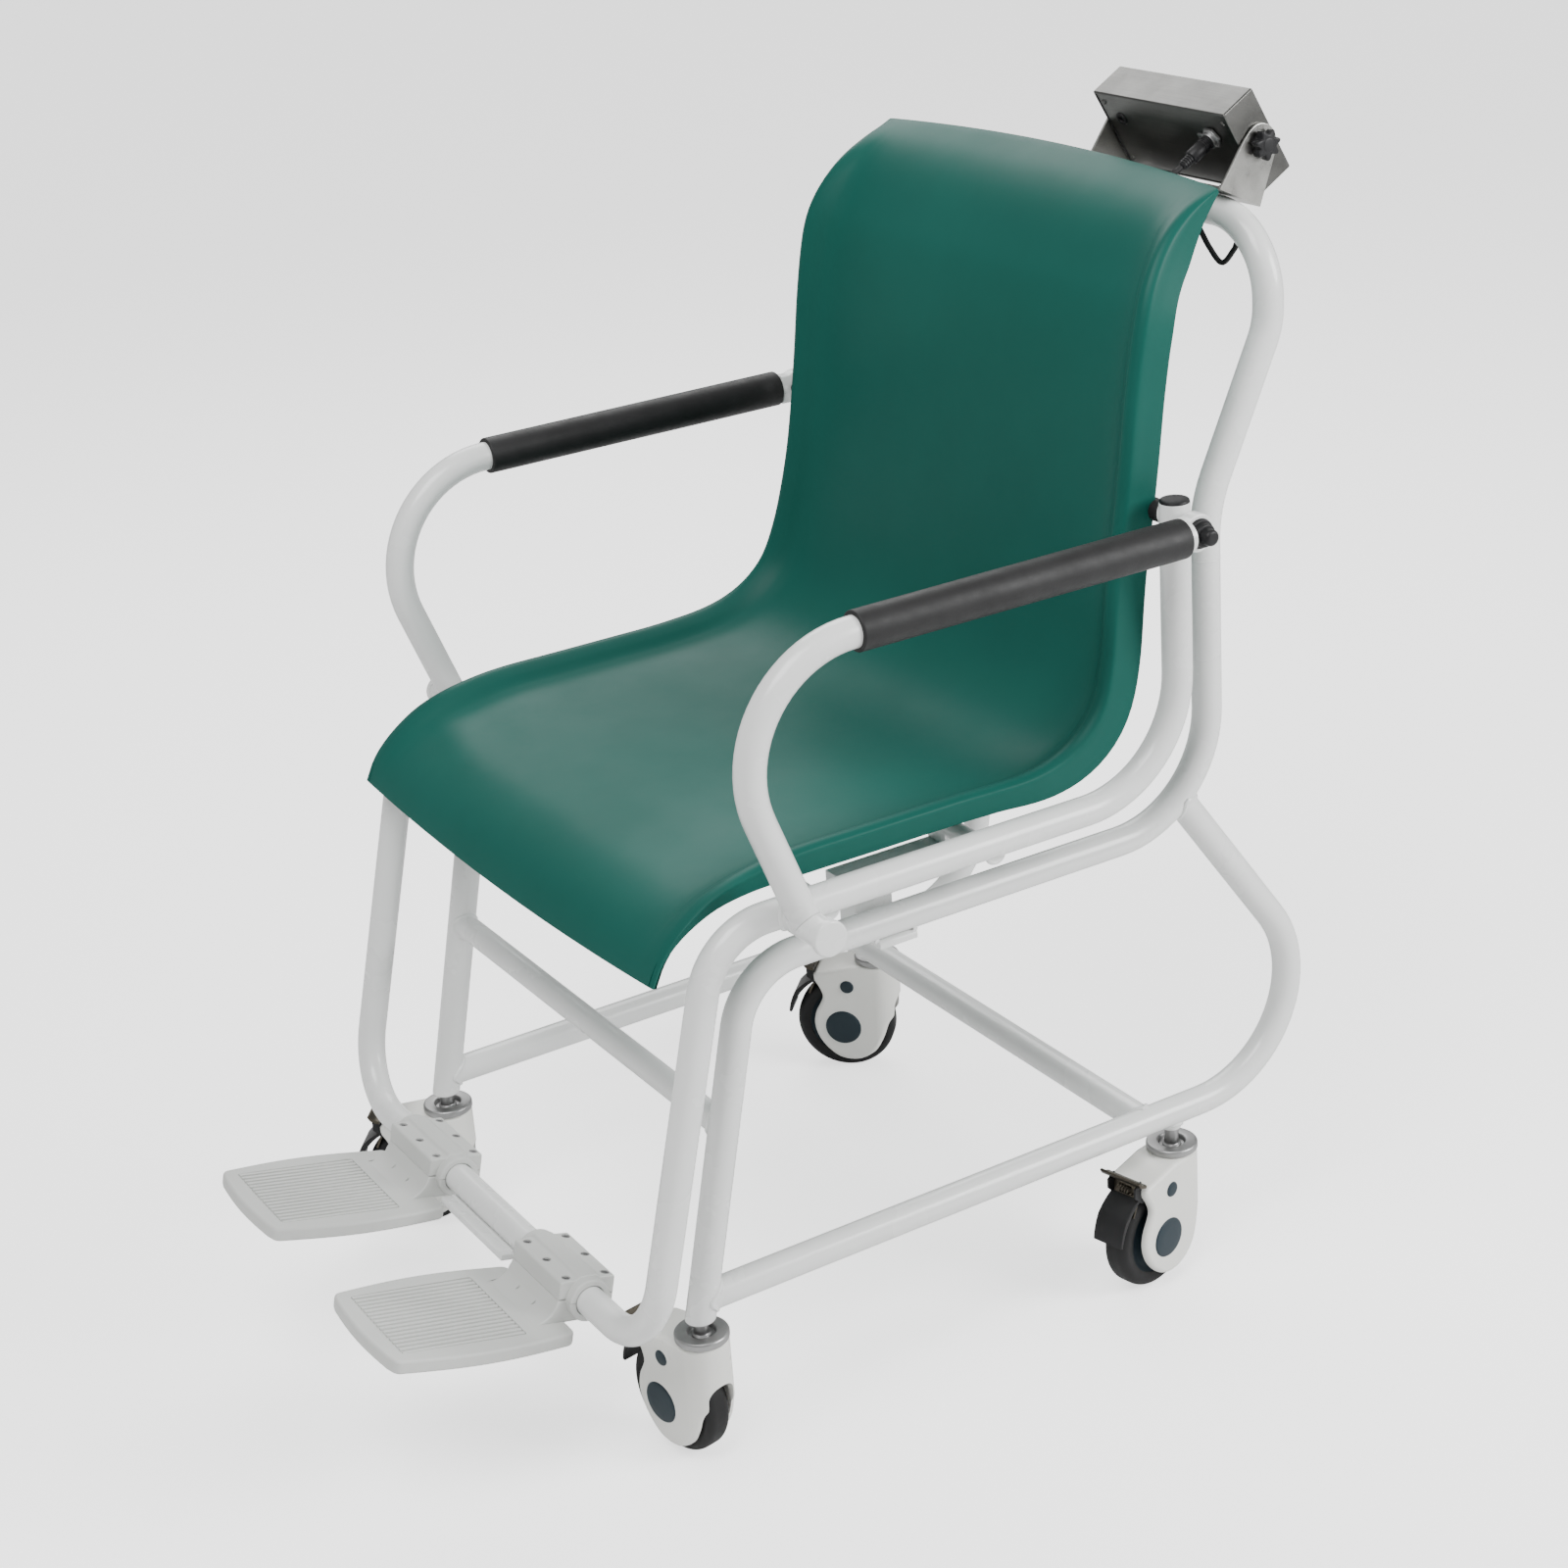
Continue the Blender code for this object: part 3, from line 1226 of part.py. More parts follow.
def make_indicator_case(name, parent):
    front = CASE_D / 2
    back = -CASE_D / 2 + COVER_T + GAP
    case = box(name, (-CASE_W / 2, back, -CASE_H / 2), (CASE_W / 2, front, CASE_H / 2),
               stainless(), parent, edge=CASE_EDGE)
    inside = box(name + "_inside",
                 (CASE_WALL - CASE_W / 2, -CASE_D, CASE_WALL - CASE_H / 2),
                 (CASE_W / 2 - CASE_WALL, front - CASE_WALL, CASE_H / 2 - CASE_WALL),
                 parent=parent, group=CUTS)
    reach = CASE_W / 2 + OVERRUN
    axis = rod(name + "_axis", (-reach, 0, 0), (reach, 0, 0), KNOB_SCREW_D / 2 + GAP, 16,
               parent=parent, group=CUTS)
    cut(case, inside, axis)
    for k, x in enumerate(key_places()):
        cut(case, key_room(f"{name}_key_{k}", x, parent))


def key_places():
    return [-KEY_STEP, 0, KEY_STEP]


def key_room(name, x, parent):
    return box(name, (x - KEY_W / 2 - GAP, 0, -KEY_DOWN - KEY_H / 2 - GAP),
               (x + KEY_W / 2 + GAP, CASE_D, -KEY_DOWN + KEY_H / 2 + GAP), parent=parent,
               group=CUTS)


def make_indicator_cover(name, parent):
    cover = box(name, (-CASE_W / 2, -CASE_D / 2, -CASE_H / 2),
                (CASE_W / 2, -CASE_D / 2 + COVER_T, CASE_H / 2), stainless(), parent)
    port = rod(name + "_port", (PORT_X, -CASE_D, SOCKET_UP), (PORT_X, 0, SOCKET_UP),
               PORT_D / 2, 20, parent=parent, group=CUTS)
    cut(cover, port)


def make_indicator_panel(name, parent):
    low = CASE_D / 2 + GAP
    panel = box(name, (-PANEL_W / 2, low, -PANEL_H / 2), (PANEL_W / 2, low + PANEL_T, PANEL_H / 2),
                black_plastic(), parent)
    view = box(name + "_view", (-WINDOW_W / 2 - GAP, 0, WINDOW_UP - WINDOW_H / 2 - GAP),
               (WINDOW_W / 2 + GAP, CASE_D, WINDOW_UP + WINDOW_H / 2 + GAP), parent=parent,
               group=CUTS)
    cut(panel, view)
    for k, x in enumerate(key_places()):
        cut(panel, key_room(f"{name}_key_{k}", x, parent))


def make_indicator_window(name, parent):
    low = CASE_D / 2 + GAP
    box(name, (-WINDOW_W / 2, low, WINDOW_UP - WINDOW_H / 2),
        (WINDOW_W / 2, low + PANEL_T, WINDOW_UP + WINDOW_H / 2), window_glass(), parent)


def make_indicator_key(name, x, parent):
    out = CASE_D / 2 + GAP + PANEL_T + KEY_OUT
    box(name, (x - KEY_W / 2, out - KEY_DEPTH, -KEY_DOWN - KEY_H / 2),
        (x + KEY_W / 2, out, -KEY_DOWN + KEY_H / 2), grey_plastic(), parent)


def make_cable_socket(name, parent):
    face = CASE_D / 2 + GAP
    profile = [(0, SOCKET_L), (SOCKET_D / 2 - GAP, SOCKET_L), (SOCKET_D / 2, 2 * SOCKET_L / 3),
               (SOCKET_D / 2, 0), (0, 0)]
    socket = turned(name, profile, 20, zinc_steel(), parent)
    socket.location = (SOCKET_X, -face, SOCKET_UP)
    socket.rotation_euler = (math.radians(90), 0, 0)


def make_cable_plug(name, parent):
    face = CASE_D / 2 + GAP + SOCKET_L + GAP
    body = CABLE_PLUG_L - CABLE_PLUG_NECK_L
    neck = CABLE_PLUG_NECK_D / 2
    wide = CABLE_PLUG_D / 2
    profile = [(0, CABLE_PLUG_L), (neck, CABLE_PLUG_L), (neck, body + neck / 2),
               (wide, body), (wide, 0), (0, 0)]
    plug = turned(name, profile, 20, black_plastic(), parent)
    plug.location = (SOCKET_X, -face, SOCKET_UP)
    plug.rotation_euler = (math.radians(90), 0, 0)


def cable_route():
    tilt = Matrix.Rotation(CASE_TILT, 3, "X")
    seat = Vector((INDICATOR_X, PIVOT_Y, PIVOT_Z))
    reach = CASE_D / 2 + SOCKET_L + CABLE_PLUG_L + 3 * GAP
    start = seat + tilt @ Vector((SOCKET_X, -reach, SOCKET_UP))
    lead = tilt @ Vector((0, -CABLE_LEAD, 0))
    entry = Vector((math.sin(CABLE_ENTRY), 0, math.cos(CABLE_ENTRY)))
    bend = Vector((BASE_HALF_W - HANDLE_CORNER_R, HANDLE_Y, HANDLE_Z - HANDLE_CORNER_R))
    inner = HANDLE_CORNER_R - TUBE_R - 2 * GAP
    end = bend + entry * inner
    leads = [start, start + lead, start + 2 * lead]
    zero = Vector((INDICATOR_X + SOCKET_X, HANDLE_Y, HANDLE_Z))
    route = [zero + Vector(place) for place in CABLE_ROUTE]
    return [*leads, *route, end - 2 * entry * CABLE_LEAD, end - entry * CABLE_LEAD, end]


def make_cable(name):
    points = smooth_curve(cable_route(), CABLE_STEPS)
    tube(name, points, CABLE_D, black_rubber(), sides=8)


def flange_outline():
    """A bracket flange, as (along the base, above the tube's middle) pairs."""
    low = TUBE_R + GAP
    round_top = arc((0, BRACKET_PIVOT_H), BRACKET_TOP_R, math.radians(-5), math.radians(185), 12)
    return [(-BRACKET_BASE_FRONT, low), (BRACKET_BASE_REAR, low)] + round_top


def make_indicator_bracket(name):
    parent = pivot("bracket_seat", (INDICATOR_X, HANDLE_Y, HANDLE_Z), (-BRACKET_TILT, 0, 0))
    half = CASE_W / 2 + BRACKET_ROOM
    out = half + BRACKET_SHEET
    low = TUBE_R + GAP
    base = box(name, (-out, -BRACKET_BASE_FRONT, low),
               (out, BRACKET_BASE_REAR, low + BRACKET_SHEET), stainless(), parent)
    for tag, side in SIDES.items():
        plate = outline_plate(f"{name}_{tag}", flange_outline(), BRACKET_SHEET, parent=parent,
                              group=CUTS)
        plate.rotation_euler = (math.radians(90), 0, math.radians(90))
        plate.location = (side * (half + BRACKET_SHEET / 2), 0, 0)
        join(base, applied(plate))
    bore = rod(name + "_bore", (-out - OVERRUN, 0, BRACKET_PIVOT_H),
               (out + OVERRUN, 0, BRACKET_PIVOT_H), KNOB_SCREW_D / 2 + GAP, 16,
               parent=parent, group=CUTS)
    cut(base, bore)


def star_outline():
    count = KNOB_LOBES * 4
    points = []
    for k in range(count):
        angle = 2 * math.pi * k / count
        r = KNOB_D / 2 * (1 - KNOB_DIP_SHARE / 2 * (1 - math.cos(KNOB_LOBES * angle)))
        points.append((r * math.cos(angle), r * math.sin(angle)))
    return points


def make_tilt_knob(name, side):
    face = CASE_W / 2 + BRACKET_ROOM + BRACKET_SHEET + GAP
    parent = pivot("turn_" + name, (INDICATOR_X + side * face, PIVOT_Y, PIVOT_Z))
    star = outline_plate(name, star_outline(), KNOB_T, black_plastic(), parent)
    star.rotation_euler = (0, math.radians(90), 0)
    star.location = (side * KNOB_T / 2, 0, 0)
    knob = applied(star)
    screw = rod(name + "_screw", (side * KNOB_T / 2, 0, 0), (-side * KNOB_SCREW_L, 0, 0),
                KNOB_SCREW_D / 2, 16, parent=parent, group=CUTS)
    join(knob, screw)


# Assembly

def make_base():
    for tag, side in SIDES.items():
        make_base_side("base_side_" + tag, side)
        make_rear_loop("rear_loop_" + tag, side)
    sides = {"left": base_side_path(1), "right": base_side_path(-1)}
    loops = {"left": rear_loop_path(1), "right": rear_loop_path(-1)}
    make_cross_bar("base_front_bar", base_leg_y(FRONT_BAR_Z), FRONT_BAR_Z, BASE_HALF_W,
                   FRONT_BAR_D, sides)
    make_cross_bar("base_rear_bar", REAR_BAR_Y, BOTTOM_RAIL_Z, BASE_HALF_W, TUBE_D, loops)
    make_push_handle("push_handle")


def make_castors():
    for end, y in (("front", CASTOR_FRONT_Y), ("rear", CASTOR_REAR_Y)):
        for tag, side in SIDES.items():
            make_castor(f"{end}_{tag}", side * BASE_HALF_W, y)


def make_seat():
    for tag, side in SIDES.items():
        make_seat_frame("seat_frame_" + tag, side)
        make_tube_plug("tube_plug_" + tag, side)
        make_load_cell("load_cell_" + tag, side)
    make_footrest_bar("footrest_bar")
    make_seat_beam("seat_beam_front", FRONT_BEAM_Y, False)
    make_seat_beam("seat_beam_rear", REAR_BEAM_Y, True)
    make_seat_shell("seat_shell")


def make_arms():
    for tag, side in SIDES.items():
        hinge = pivot("arm_hinge_" + tag, (side * ARM_HALF_W, SEAT_UPRIGHT_Y, ARM_Z))
        make_arm("arm_" + tag, side, hinge)
        make_grip("arm_grip_" + tag, side, hinge)
        make_arm_bolt("arm_bolt_" + tag, side)


def make_footrests():
    for tag, side in SIDES.items():
        hinge = pivot("foot_hinge_" + tag, (side * CLAMP_X, FOOT_BAR_Y, FOOT_BAR_Z),
                      (-PLATE_TILT, 0, 0))
        make_footplate("footplate_" + tag, side, hinge)
        make_footplate_clamp("footplate_clamp_" + tag, hinge)


def make_indicator():
    make_indicator_bracket("indicator_bracket")
    tilt = pivot("indicator_tilt", (INDICATOR_X, PIVOT_Y, PIVOT_Z), (CASE_TILT, 0, 0))
    make_indicator_case("indicator_case", tilt)
    make_indicator_cover("indicator_cover", tilt)
    make_indicator_panel("indicator_panel", tilt)
    make_indicator_window("indicator_window", tilt)
    for k, x in enumerate(key_places()):
        make_indicator_key(f"indicator_key_{k + 1}", x, tilt)
    make_cable_socket("cable_socket", tilt)
    make_cable_plug("cable_plug", tilt)
    for tag, side in SIDES.items():
        make_tilt_knob("tilt_knob_" + tag, side)
    make_cable("indicator_cable")


def main():
    clear_scene()
    make_base()
    make_castors()
    make_seat()
    make_arms()
    make_footrests()
    make_indicator()


if __name__ == "__main__":
    main()
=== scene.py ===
"""Chair scale: the looks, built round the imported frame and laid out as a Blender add-on."""
import json
import math

import bmesh
import bpy
from bpy.props import FloatProperty, FloatVectorProperty, IntProperty, PointerProperty
from mathutils import Matrix, Vector

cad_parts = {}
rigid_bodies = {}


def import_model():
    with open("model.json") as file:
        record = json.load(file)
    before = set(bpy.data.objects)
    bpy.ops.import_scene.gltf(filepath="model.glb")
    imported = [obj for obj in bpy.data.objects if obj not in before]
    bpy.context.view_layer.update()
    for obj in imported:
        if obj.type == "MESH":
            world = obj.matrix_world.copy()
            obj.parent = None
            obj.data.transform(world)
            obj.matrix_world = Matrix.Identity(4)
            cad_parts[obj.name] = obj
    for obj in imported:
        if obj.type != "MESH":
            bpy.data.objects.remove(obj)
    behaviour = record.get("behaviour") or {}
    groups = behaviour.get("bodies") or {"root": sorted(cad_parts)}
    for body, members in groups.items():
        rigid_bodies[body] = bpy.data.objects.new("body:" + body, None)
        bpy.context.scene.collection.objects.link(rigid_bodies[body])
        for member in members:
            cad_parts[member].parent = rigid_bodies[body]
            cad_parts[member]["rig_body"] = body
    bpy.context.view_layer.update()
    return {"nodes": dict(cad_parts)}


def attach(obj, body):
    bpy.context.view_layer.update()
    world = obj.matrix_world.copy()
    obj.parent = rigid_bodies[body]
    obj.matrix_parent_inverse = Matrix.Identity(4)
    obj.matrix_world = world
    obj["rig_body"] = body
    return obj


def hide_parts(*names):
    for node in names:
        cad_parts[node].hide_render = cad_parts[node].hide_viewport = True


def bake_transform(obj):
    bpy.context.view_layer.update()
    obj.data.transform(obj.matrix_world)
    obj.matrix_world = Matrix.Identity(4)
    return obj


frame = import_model()

bl_info = {
    "name": "Chair scale",
    "version": (1, 0, 0),
    "blender": (4, 5, 0),
    "location": "View3D > Sidebar > Chair scale",
    "description": "Builds a chair scale's visible pieces on its frame",
    "category": "Object",
}

MM = 0.001
# A height difference under which an edge counts as level
LEVEL = 1e-6
# How far a tube's closed end lies inside the tube it is welded to, and how far a straight
# tube is drawn back before it is fitted, as a share of the other tube's radius
END_SUNK = 1.5
RUN_BACK_SHARE = 1.6
# The drawing's zero lies behind the origin and above the floor
DRAWING_ZERO = Vector((0, 53.012, 10.172))
SIDES = {"left": 1, "right": -1}

# Heights and places of the drawing, in millimetres
BASE_X = 234
SEAT_X = 270
ARM_X = 300
BASE_LEG_Y = -254
BASE_LEG_LEAN = math.radians(12.6)
BASE_RAIL_Z = 415
SEAT_RAIL_Z = 472
SEAT_LEG_LEAN = math.radians(14)
ARM_Z = 690
FRONT_BEND_R = 60
REAR_BEND_R = 95
UPRIGHT_Y = 268
UPRIGHT_TOP_Z = 640
SEAT_UPRIGHT_Y = 209
SEAT_UPRIGHT_TOP_Z = 709
LEG_BOTTOM_Z = 124
BOTTOM_RAIL_Z = 142
FRONT_TIE_Z = 287
REAR_TIE_Y = 194
HANDLE_Y = 335
HANDLE_Z = 902
HANDLE_BEND_R = 62
CELL_X = 200
CELL_FOOT_Y = -53.7
CELL_PLATE_Z = 398
FOOT_BAR = Vector((0, -318, 133))
PLATE_TILT = math.radians(13)
CLAMP_X = 115
CLAMP_OUTSET = 6
CLAMP_ENDS = (-41, 41)
CLAMP_BORE_R = 13.1
STUB_Y = -168
ARM_LEAN = math.radians(20)
ARM_BEND_R = 94
ARM_END_Y = 198
ARM_LUG_T = 12
GRIP_START_Y = -111
GRIP_L = 303
SPACER_Z = 697
SPACER_X = 240.6
INDICATOR = Vector((108, 361.331, 953.679))
CASE_TILT = math.radians(30.2)
CASE_TOP = 39.5
CASE_BOTTOM = -37.5
CASE_HALF_W = 84
CASE_HALF_D = 17
PORT = (-62, 16)
SOCKET = (56, 16)
BRACKET_TILT = math.radians(27)
CASTOR_TURNS = {"front_left": 190, "front_right": 232, "rear_left": -77, "rear_right": -134}
CASTOR_Y = {"front": BASE_LEG_Y, "rear": 223}
AXLE = Vector((34, 0, 39.4))
BRAKE_PIN = Vector((28, 0, 85))
SHROUD_HALF_W = 22
CAMERA_SPOT = Vector((1972.1, -1147.6, 1416.8))
CAMERA_TURNS = ((59.91, "Z"), (66.81, "X"), (-4.29, "Z"))
CAMERA_LENS = 66.4
CAMERA_FRAME = 36


# Sizes and colours that a user would change

def length(name, description, millimetres):
    return FloatProperty(name=name, description=description, default=millimetres * MM,
                         unit="LENGTH", min=0)


def colour(name, description, value):
    return FloatVectorProperty(name=name, description=description, default=value,
                               subtype="COLOR", size=3, min=0, max=1)


class ChairScaleSizes(bpy.types.PropertyGroup):
    tube: length("Tube", "Outer diameter of the frame's tubes", 25)
    front_tie: length("Front tie", "Outer diameter of the front cross bar", 22)
    beam: length("Seat beam", "Outer diameter of the beams under the seat", 16)
    weld: length("Weld", "Width of the weld beads where tubes meet", 4.4)
    grip: length("Grip", "Outer diameter of the armrests' foam grips", 32)
    shell_wall: length("Shell wall", "Thickness of the moulded seat", 5)
    shell_crown: length("Shell crown", "How far the backrest's top edge rises in the middle", 14)
    plate_rim: length("Plate rim", "Width of the plain rim round a footplate's ribs", 13)
    cable: length("Cable", "Outer diameter of the indicator's cable", 4.6)
    tube_sides: IntProperty(name="Tube sides", description="Faces round a tube",
                            default=36, min=8, max=96)
    rib_count: IntProperty(name="Ribs", description="Ribs on each footplate",
                           default=17, min=3, max=40)


class ChairScaleColours(bpy.types.PropertyGroup):
    paint: colour("Paint", "The frame's powder coat", (0.80, 0.81, 0.80))
    shell: colour("Shell", "The moulded seat", (0.004, 0.082, 0.064))
    plate: colour("Plates", "The footplates and their clamps", (0.60, 0.61, 0.59))
    cream: colour("Castors", "The castors' shrouds", (0.80, 0.80, 0.76))
    rubber: colour("Rubber", "Tyres and grips", (0.010, 0.010, 0.0105))
    black: colour("Black plastic", "Knobs, plugs and pedals", (0.009, 0.009, 0.010))
    blue_grey: colour("Caps", "The castors' hub caps", (0.014, 0.026, 0.035))
    steel: colour("Stainless steel", "The indicator's case and bracket", (0.44, 0.44, 0.42))
    zinc: colour("Zinc", "Plated rings, nuts and screws", (0.33, 0.33, 0.33))
    # The load cells' pale grey is painted light: it is lighter than bare metal, so the cells read
    # bright although they sit in shade under the seat
    aluminium: colour("Aluminium", "The load cells", (0.80, 0.80, 0.80))
    screen: colour("Window", "The display's window", (0.06, 0.075, 0.06))


def sizes():
    return bpy.context.scene.chair_scale_sizes


def colours():
    return bpy.context.scene.chair_scale_colours


# Node groups

def shared(tree, name, make, **links):
    """A node that holds the group of this name, which is made at its first use."""
    held = bpy.data.node_groups.get(name) or make(name)
    return add(tree, "ShaderNodeGroup", {"node_tree": held}, **links)


def group(name, sockets):
    """An empty shader group with the given inputs and outputs, and its two end nodes."""
    tree = bpy.data.node_groups.new(name, "ShaderNodeTree")
    for label, way, kind, value in sockets:
        socket = tree.interface.new_socket(name=label, in_out=way, socket_type=kind)
        if value is not None:
            socket.default_value = value
    return tree, tree.nodes.new("NodeGroupInput"), tree.nodes.new("NodeGroupOutput")


def add(tree, kind, settings=None, **links):
    """A node with its settings, and its inputs set to values or joined to sockets."""
    node = tree.nodes.new(kind)
    for label, value in (settings or {}).items():
        setattr(node, label, value)
    for label, value in links.items():
        key = int(label[1:]) if label[1:].isdigit() else label.replace("_", " ")
        if isinstance(value, bpy.types.NodeSocket):
            tree.links.new(value, node.inputs[key])
        else:
            node.inputs[key].default_value = value
    return node


def mottle_group(name):
    """Soft patches, from a low to a high value."""
    tree, into, out = group(name, [
        ("Scale", "INPUT", "NodeSocketFloat", 8), ("Low", "INPUT", "NodeSocketFloat", 0),
        ("High", "INPUT", "NodeSocketFloat", 1), ("Value", "OUTPUT", "NodeSocketFloat", None)])
    place = add(tree, "ShaderNodeTexCoord")
    noise = add(tree, "ShaderNodeTexNoise", Vector=place.outputs["Object"],
                Scale=into.outputs["Scale"], Detail=4.0, Roughness=0.6)
    spread = add(tree, "ShaderNodeMapRange", Value=noise.outputs["Fac"], From_Min=0.3,
                 From_Max=0.7, To_Min=into.outputs["Low"], To_Max=into.outputs["High"])
    tree.links.new(spread.outputs["Result"], out.inputs["Value"])
    return tree


def grain_group(name):
    """The height of a fine moulded or sprayed grain, with a coarser wave under it."""
    tree, into, out = group(name, [
        ("Scale", "INPUT", "NodeSocketFloat", 900), ("Wave", "INPUT", "NodeSocketFloat", 60),
        ("Wave share", "INPUT", "NodeSocketFloat", 0.4),
        ("Height", "OUTPUT", "NodeSocketFloat", None)])
    place = add(tree, "ShaderNodeTexCoord")
    fine = add(tree, "ShaderNodeTexNoise", Vector=place.outputs["Object"],
               Scale=into.outputs["Scale"], Detail=2.0)
    wave = add(tree, "ShaderNodeTexNoise", Vector=place.outputs["Object"],
               Scale=into.outputs["Wave"], Detail=1.0)
    both = add(tree, "ShaderNodeMix", {"data_type": "FLOAT"}, Factor=into.outputs["Wave share"],
               A=fine.outputs["Fac"], B=wave.outputs["Fac"])
    tree.links.new(both.outputs["Result"], out.inputs["Height"])
    return tree


def brushing_group(name):
    """Brush lines along one way, as a shade and a height."""
    tree, into, out = group(name, [
        ("Stretch", "INPUT", "NodeSocketVector", (30, 1400, 1400)),
        ("Low", "INPUT", "NodeSocketFloat", 0), ("High", "INPUT", "NodeSocketFloat", 1),
        ("Value", "OUTPUT", "NodeSocketFloat", None),
        ("Height", "OUTPUT", "NodeSocketFloat", None)])
    place = add(tree, "ShaderNodeTexCoord")
    drawn = add(tree, "ShaderNodeMapping", Vector=place.outputs["Object"],
                Scale=into.outputs["Stretch"])
    lines = add(tree, "ShaderNodeTexNoise", Vector=drawn.outputs["Vector"], Scale=1.0, Detail=3.0)
    spread = add(tree, "ShaderNodeMapRange", Value=lines.outputs["Fac"], From_Min=0.25,
                 From_Max=0.75, To_Min=into.outputs["Low"], To_Max=into.outputs["High"])
    tree.links.new(spread.outputs["Result"], out.inputs["Value"])
    tree.links.new(lines.outputs["Fac"], out.inputs["Height"])
    return tree


def dust_group(name):
    """A mask of faint dust on what faces up, broken by patches."""
    tree, into, out = group(name, [
        ("Amount", "INPUT", "NodeSocketFloat", 0.1), ("Scale", "INPUT", "NodeSocketFloat", 14),
        ("Mask", "OUTPUT", "NodeSocketFloat", None)])
    place = add(tree, "ShaderNodeTexCoord")
    facing = add(tree, "ShaderNodeNewGeometry")
    split = add(tree, "ShaderNodeSeparateXYZ", Vector=facing.outputs["Normal"])
    up = add(tree, "ShaderNodeMapRange", Value=split.outputs["Z"], From_Min=0.3, From_Max=1.0,
             To_Min=0.0, To_Max=1.0)
    patches = add(tree, "ShaderNodeTexNoise", Vector=place.outputs["Object"],
                  Scale=into.outputs["Scale"], Detail=6.0, Roughness=0.7)
    held = add(tree, "ShaderNodeMath", {"operation": "MULTIPLY"}, _0=up.outputs["Result"],
               _1=patches.outputs["Fac"])
    amount = add(tree, "ShaderNodeMath", {"operation": "MULTIPLY"}, _0=held.outputs["Value"],
                 _1=into.outputs["Amount"])
    tree.links.new(amount.outputs["Value"], out.inputs["Mask"])
    return tree


# Materials. These have no slot of their own and use another's.

FINISH = "_finish"


def finish(name, tone, roughness, metallic=0.0, tone_spread=0.05, tone_scale=7.0,
           rough_spread=0.06, grain=(1100, 70, 0.4), depth=0.00002, dust=0.06,
           brushed=None, coat=0.0, specular=0.5):
    """A Principled material whose colour, roughness and bump vary over the surface."""
    title = name + FINISH
    found = bpy.data.materials.get(title)
    if found:
        return found
    mat = bpy.data.materials.new(title)
    mat.use_nodes = True
    tree = mat.node_tree
    shader = tree.nodes["Principled BSDF"]
    shader.inputs["Metallic"].default_value = metallic
    shader.inputs["Coat Weight"].default_value = coat
    shader.inputs["Coat Roughness"].default_value = 0.12
    shader.inputs["Specular IOR Level"].default_value = specular
    low = tuple(c * (1 - tone_spread) for c in tone)
    high = tuple(min(1.0, c * (1 + tone_spread)) for c in tone)
    patches = shared(tree, "mottle", mottle_group, Scale=tone_scale)
    paint = add(tree, "ShaderNodeMix", {"data_type": "RGBA"}, Factor=patches.outputs["Value"],
                _6=(*low, 1), _7=(*high, 1))
    shown = paint.outputs[2]
    if brushed:
        lines = shared(tree, "brushing", brushing_group, Stretch=brushed, Low=0.86, High=1.1)
        shaded = add(tree, "ShaderNodeVectorMath", {"operation": "SCALE"}, Vector=shown,
                     Scale=lines.outputs["Value"])
        shown = shaded.outputs["Vector"]
    if dust:
        mask = shared(tree, "dust", dust_group, Amount=dust)
        dusty = add(tree, "ShaderNodeMix", {"data_type": "RGBA"}, Factor=mask.outputs["Mask"],
                    _6=shown, _7=(0.42, 0.41, 0.38, 1))
        shown = dusty.outputs[2]
    tree.links.new(shown, shader.inputs["Base Color"])
    worn = shared(tree, "mottle", mottle_group, Scale=tone_scale * 2.3,
                  Low=roughness - rough_spread, High=roughness + rough_spread)
    tree.links.new(worn.outputs["Value"], shader.inputs["Roughness"])
    if brushed:
        height = lines.outputs["Height"]
    else:
        scale, wave, share = grain
        fine = shared(tree, "grain", grain_group, Scale=scale, Wave=wave, Wave_share=share)
        height = fine.outputs["Height"]
    bump = add(tree, "ShaderNodeBump", Strength=1.0, Distance=depth, Height=height)
    tree.links.new(bump.outputs["Normal"], shader.inputs["Normal"])
    return mat


def white_paint():
    return finish("white_paint", colours().paint, 0.26, tone_spread=0.02, tone_scale=5,
                  grain=(420, 120, 0.6), depth=0.00004, dust=0.03, coat=0.25)


def green_shell():
    return finish("green_shell", colours().shell, 0.46, tone_spread=0.08, tone_scale=4,
                  rough_spread=0.04, grain=(1500, 240, 0.35), depth=0.00004, dust=0.002,
                  specular=0.16)


def grey_plastic():
    return finish("grey_plastic", colours().plate, 0.46, tone_spread=0.03,
                  grain=(1300, 160, 0.4), depth=0.00005, dust=0.05)


def cream_plastic():
    return finish("cream_plastic", colours().cream, 0.32, tone_spread=0.02,
                  grain=(900, 90, 0.5), depth=0.00002, dust=0.02)


def black_rubber():
    return finish("black_rubber", colours().rubber, 0.62, tone_spread=0.25, tone_scale=18,
                  grain=(1400, 200, 0.3), depth=0.00009, dust=0.03, specular=0.3)


def foam():
    return finish("grip_foam", colours().rubber, 0.56, tone_spread=0.3, tone_scale=30,
                  grain=(1900, 500, 0.5), depth=0.00014, dust=0.01, specular=0.4)


def black_plastic():
    return finish("black_plastic", colours().black, 0.46, tone_spread=0.15, tone_scale=20,
                  rough_spread=0.04, grain=(1500, 200, 0.3), depth=0.00001, dust=0.02,
                  specular=0.3)


def blue_grey_plastic():
    return finish("blue_grey_plastic", colours().blue_grey, 0.50, tone_spread=0.08,
                  grain=(1300, 200, 0.3), depth=0.00002, dust=0.01, specular=0.3)


def stainless():
    return finish("stainless", colours().steel, 0.31, metallic=1.0, tone_spread=0.07,
                  tone_scale=14, brushed=(24, 1500, 1500), depth=0.000015, dust=0.03)


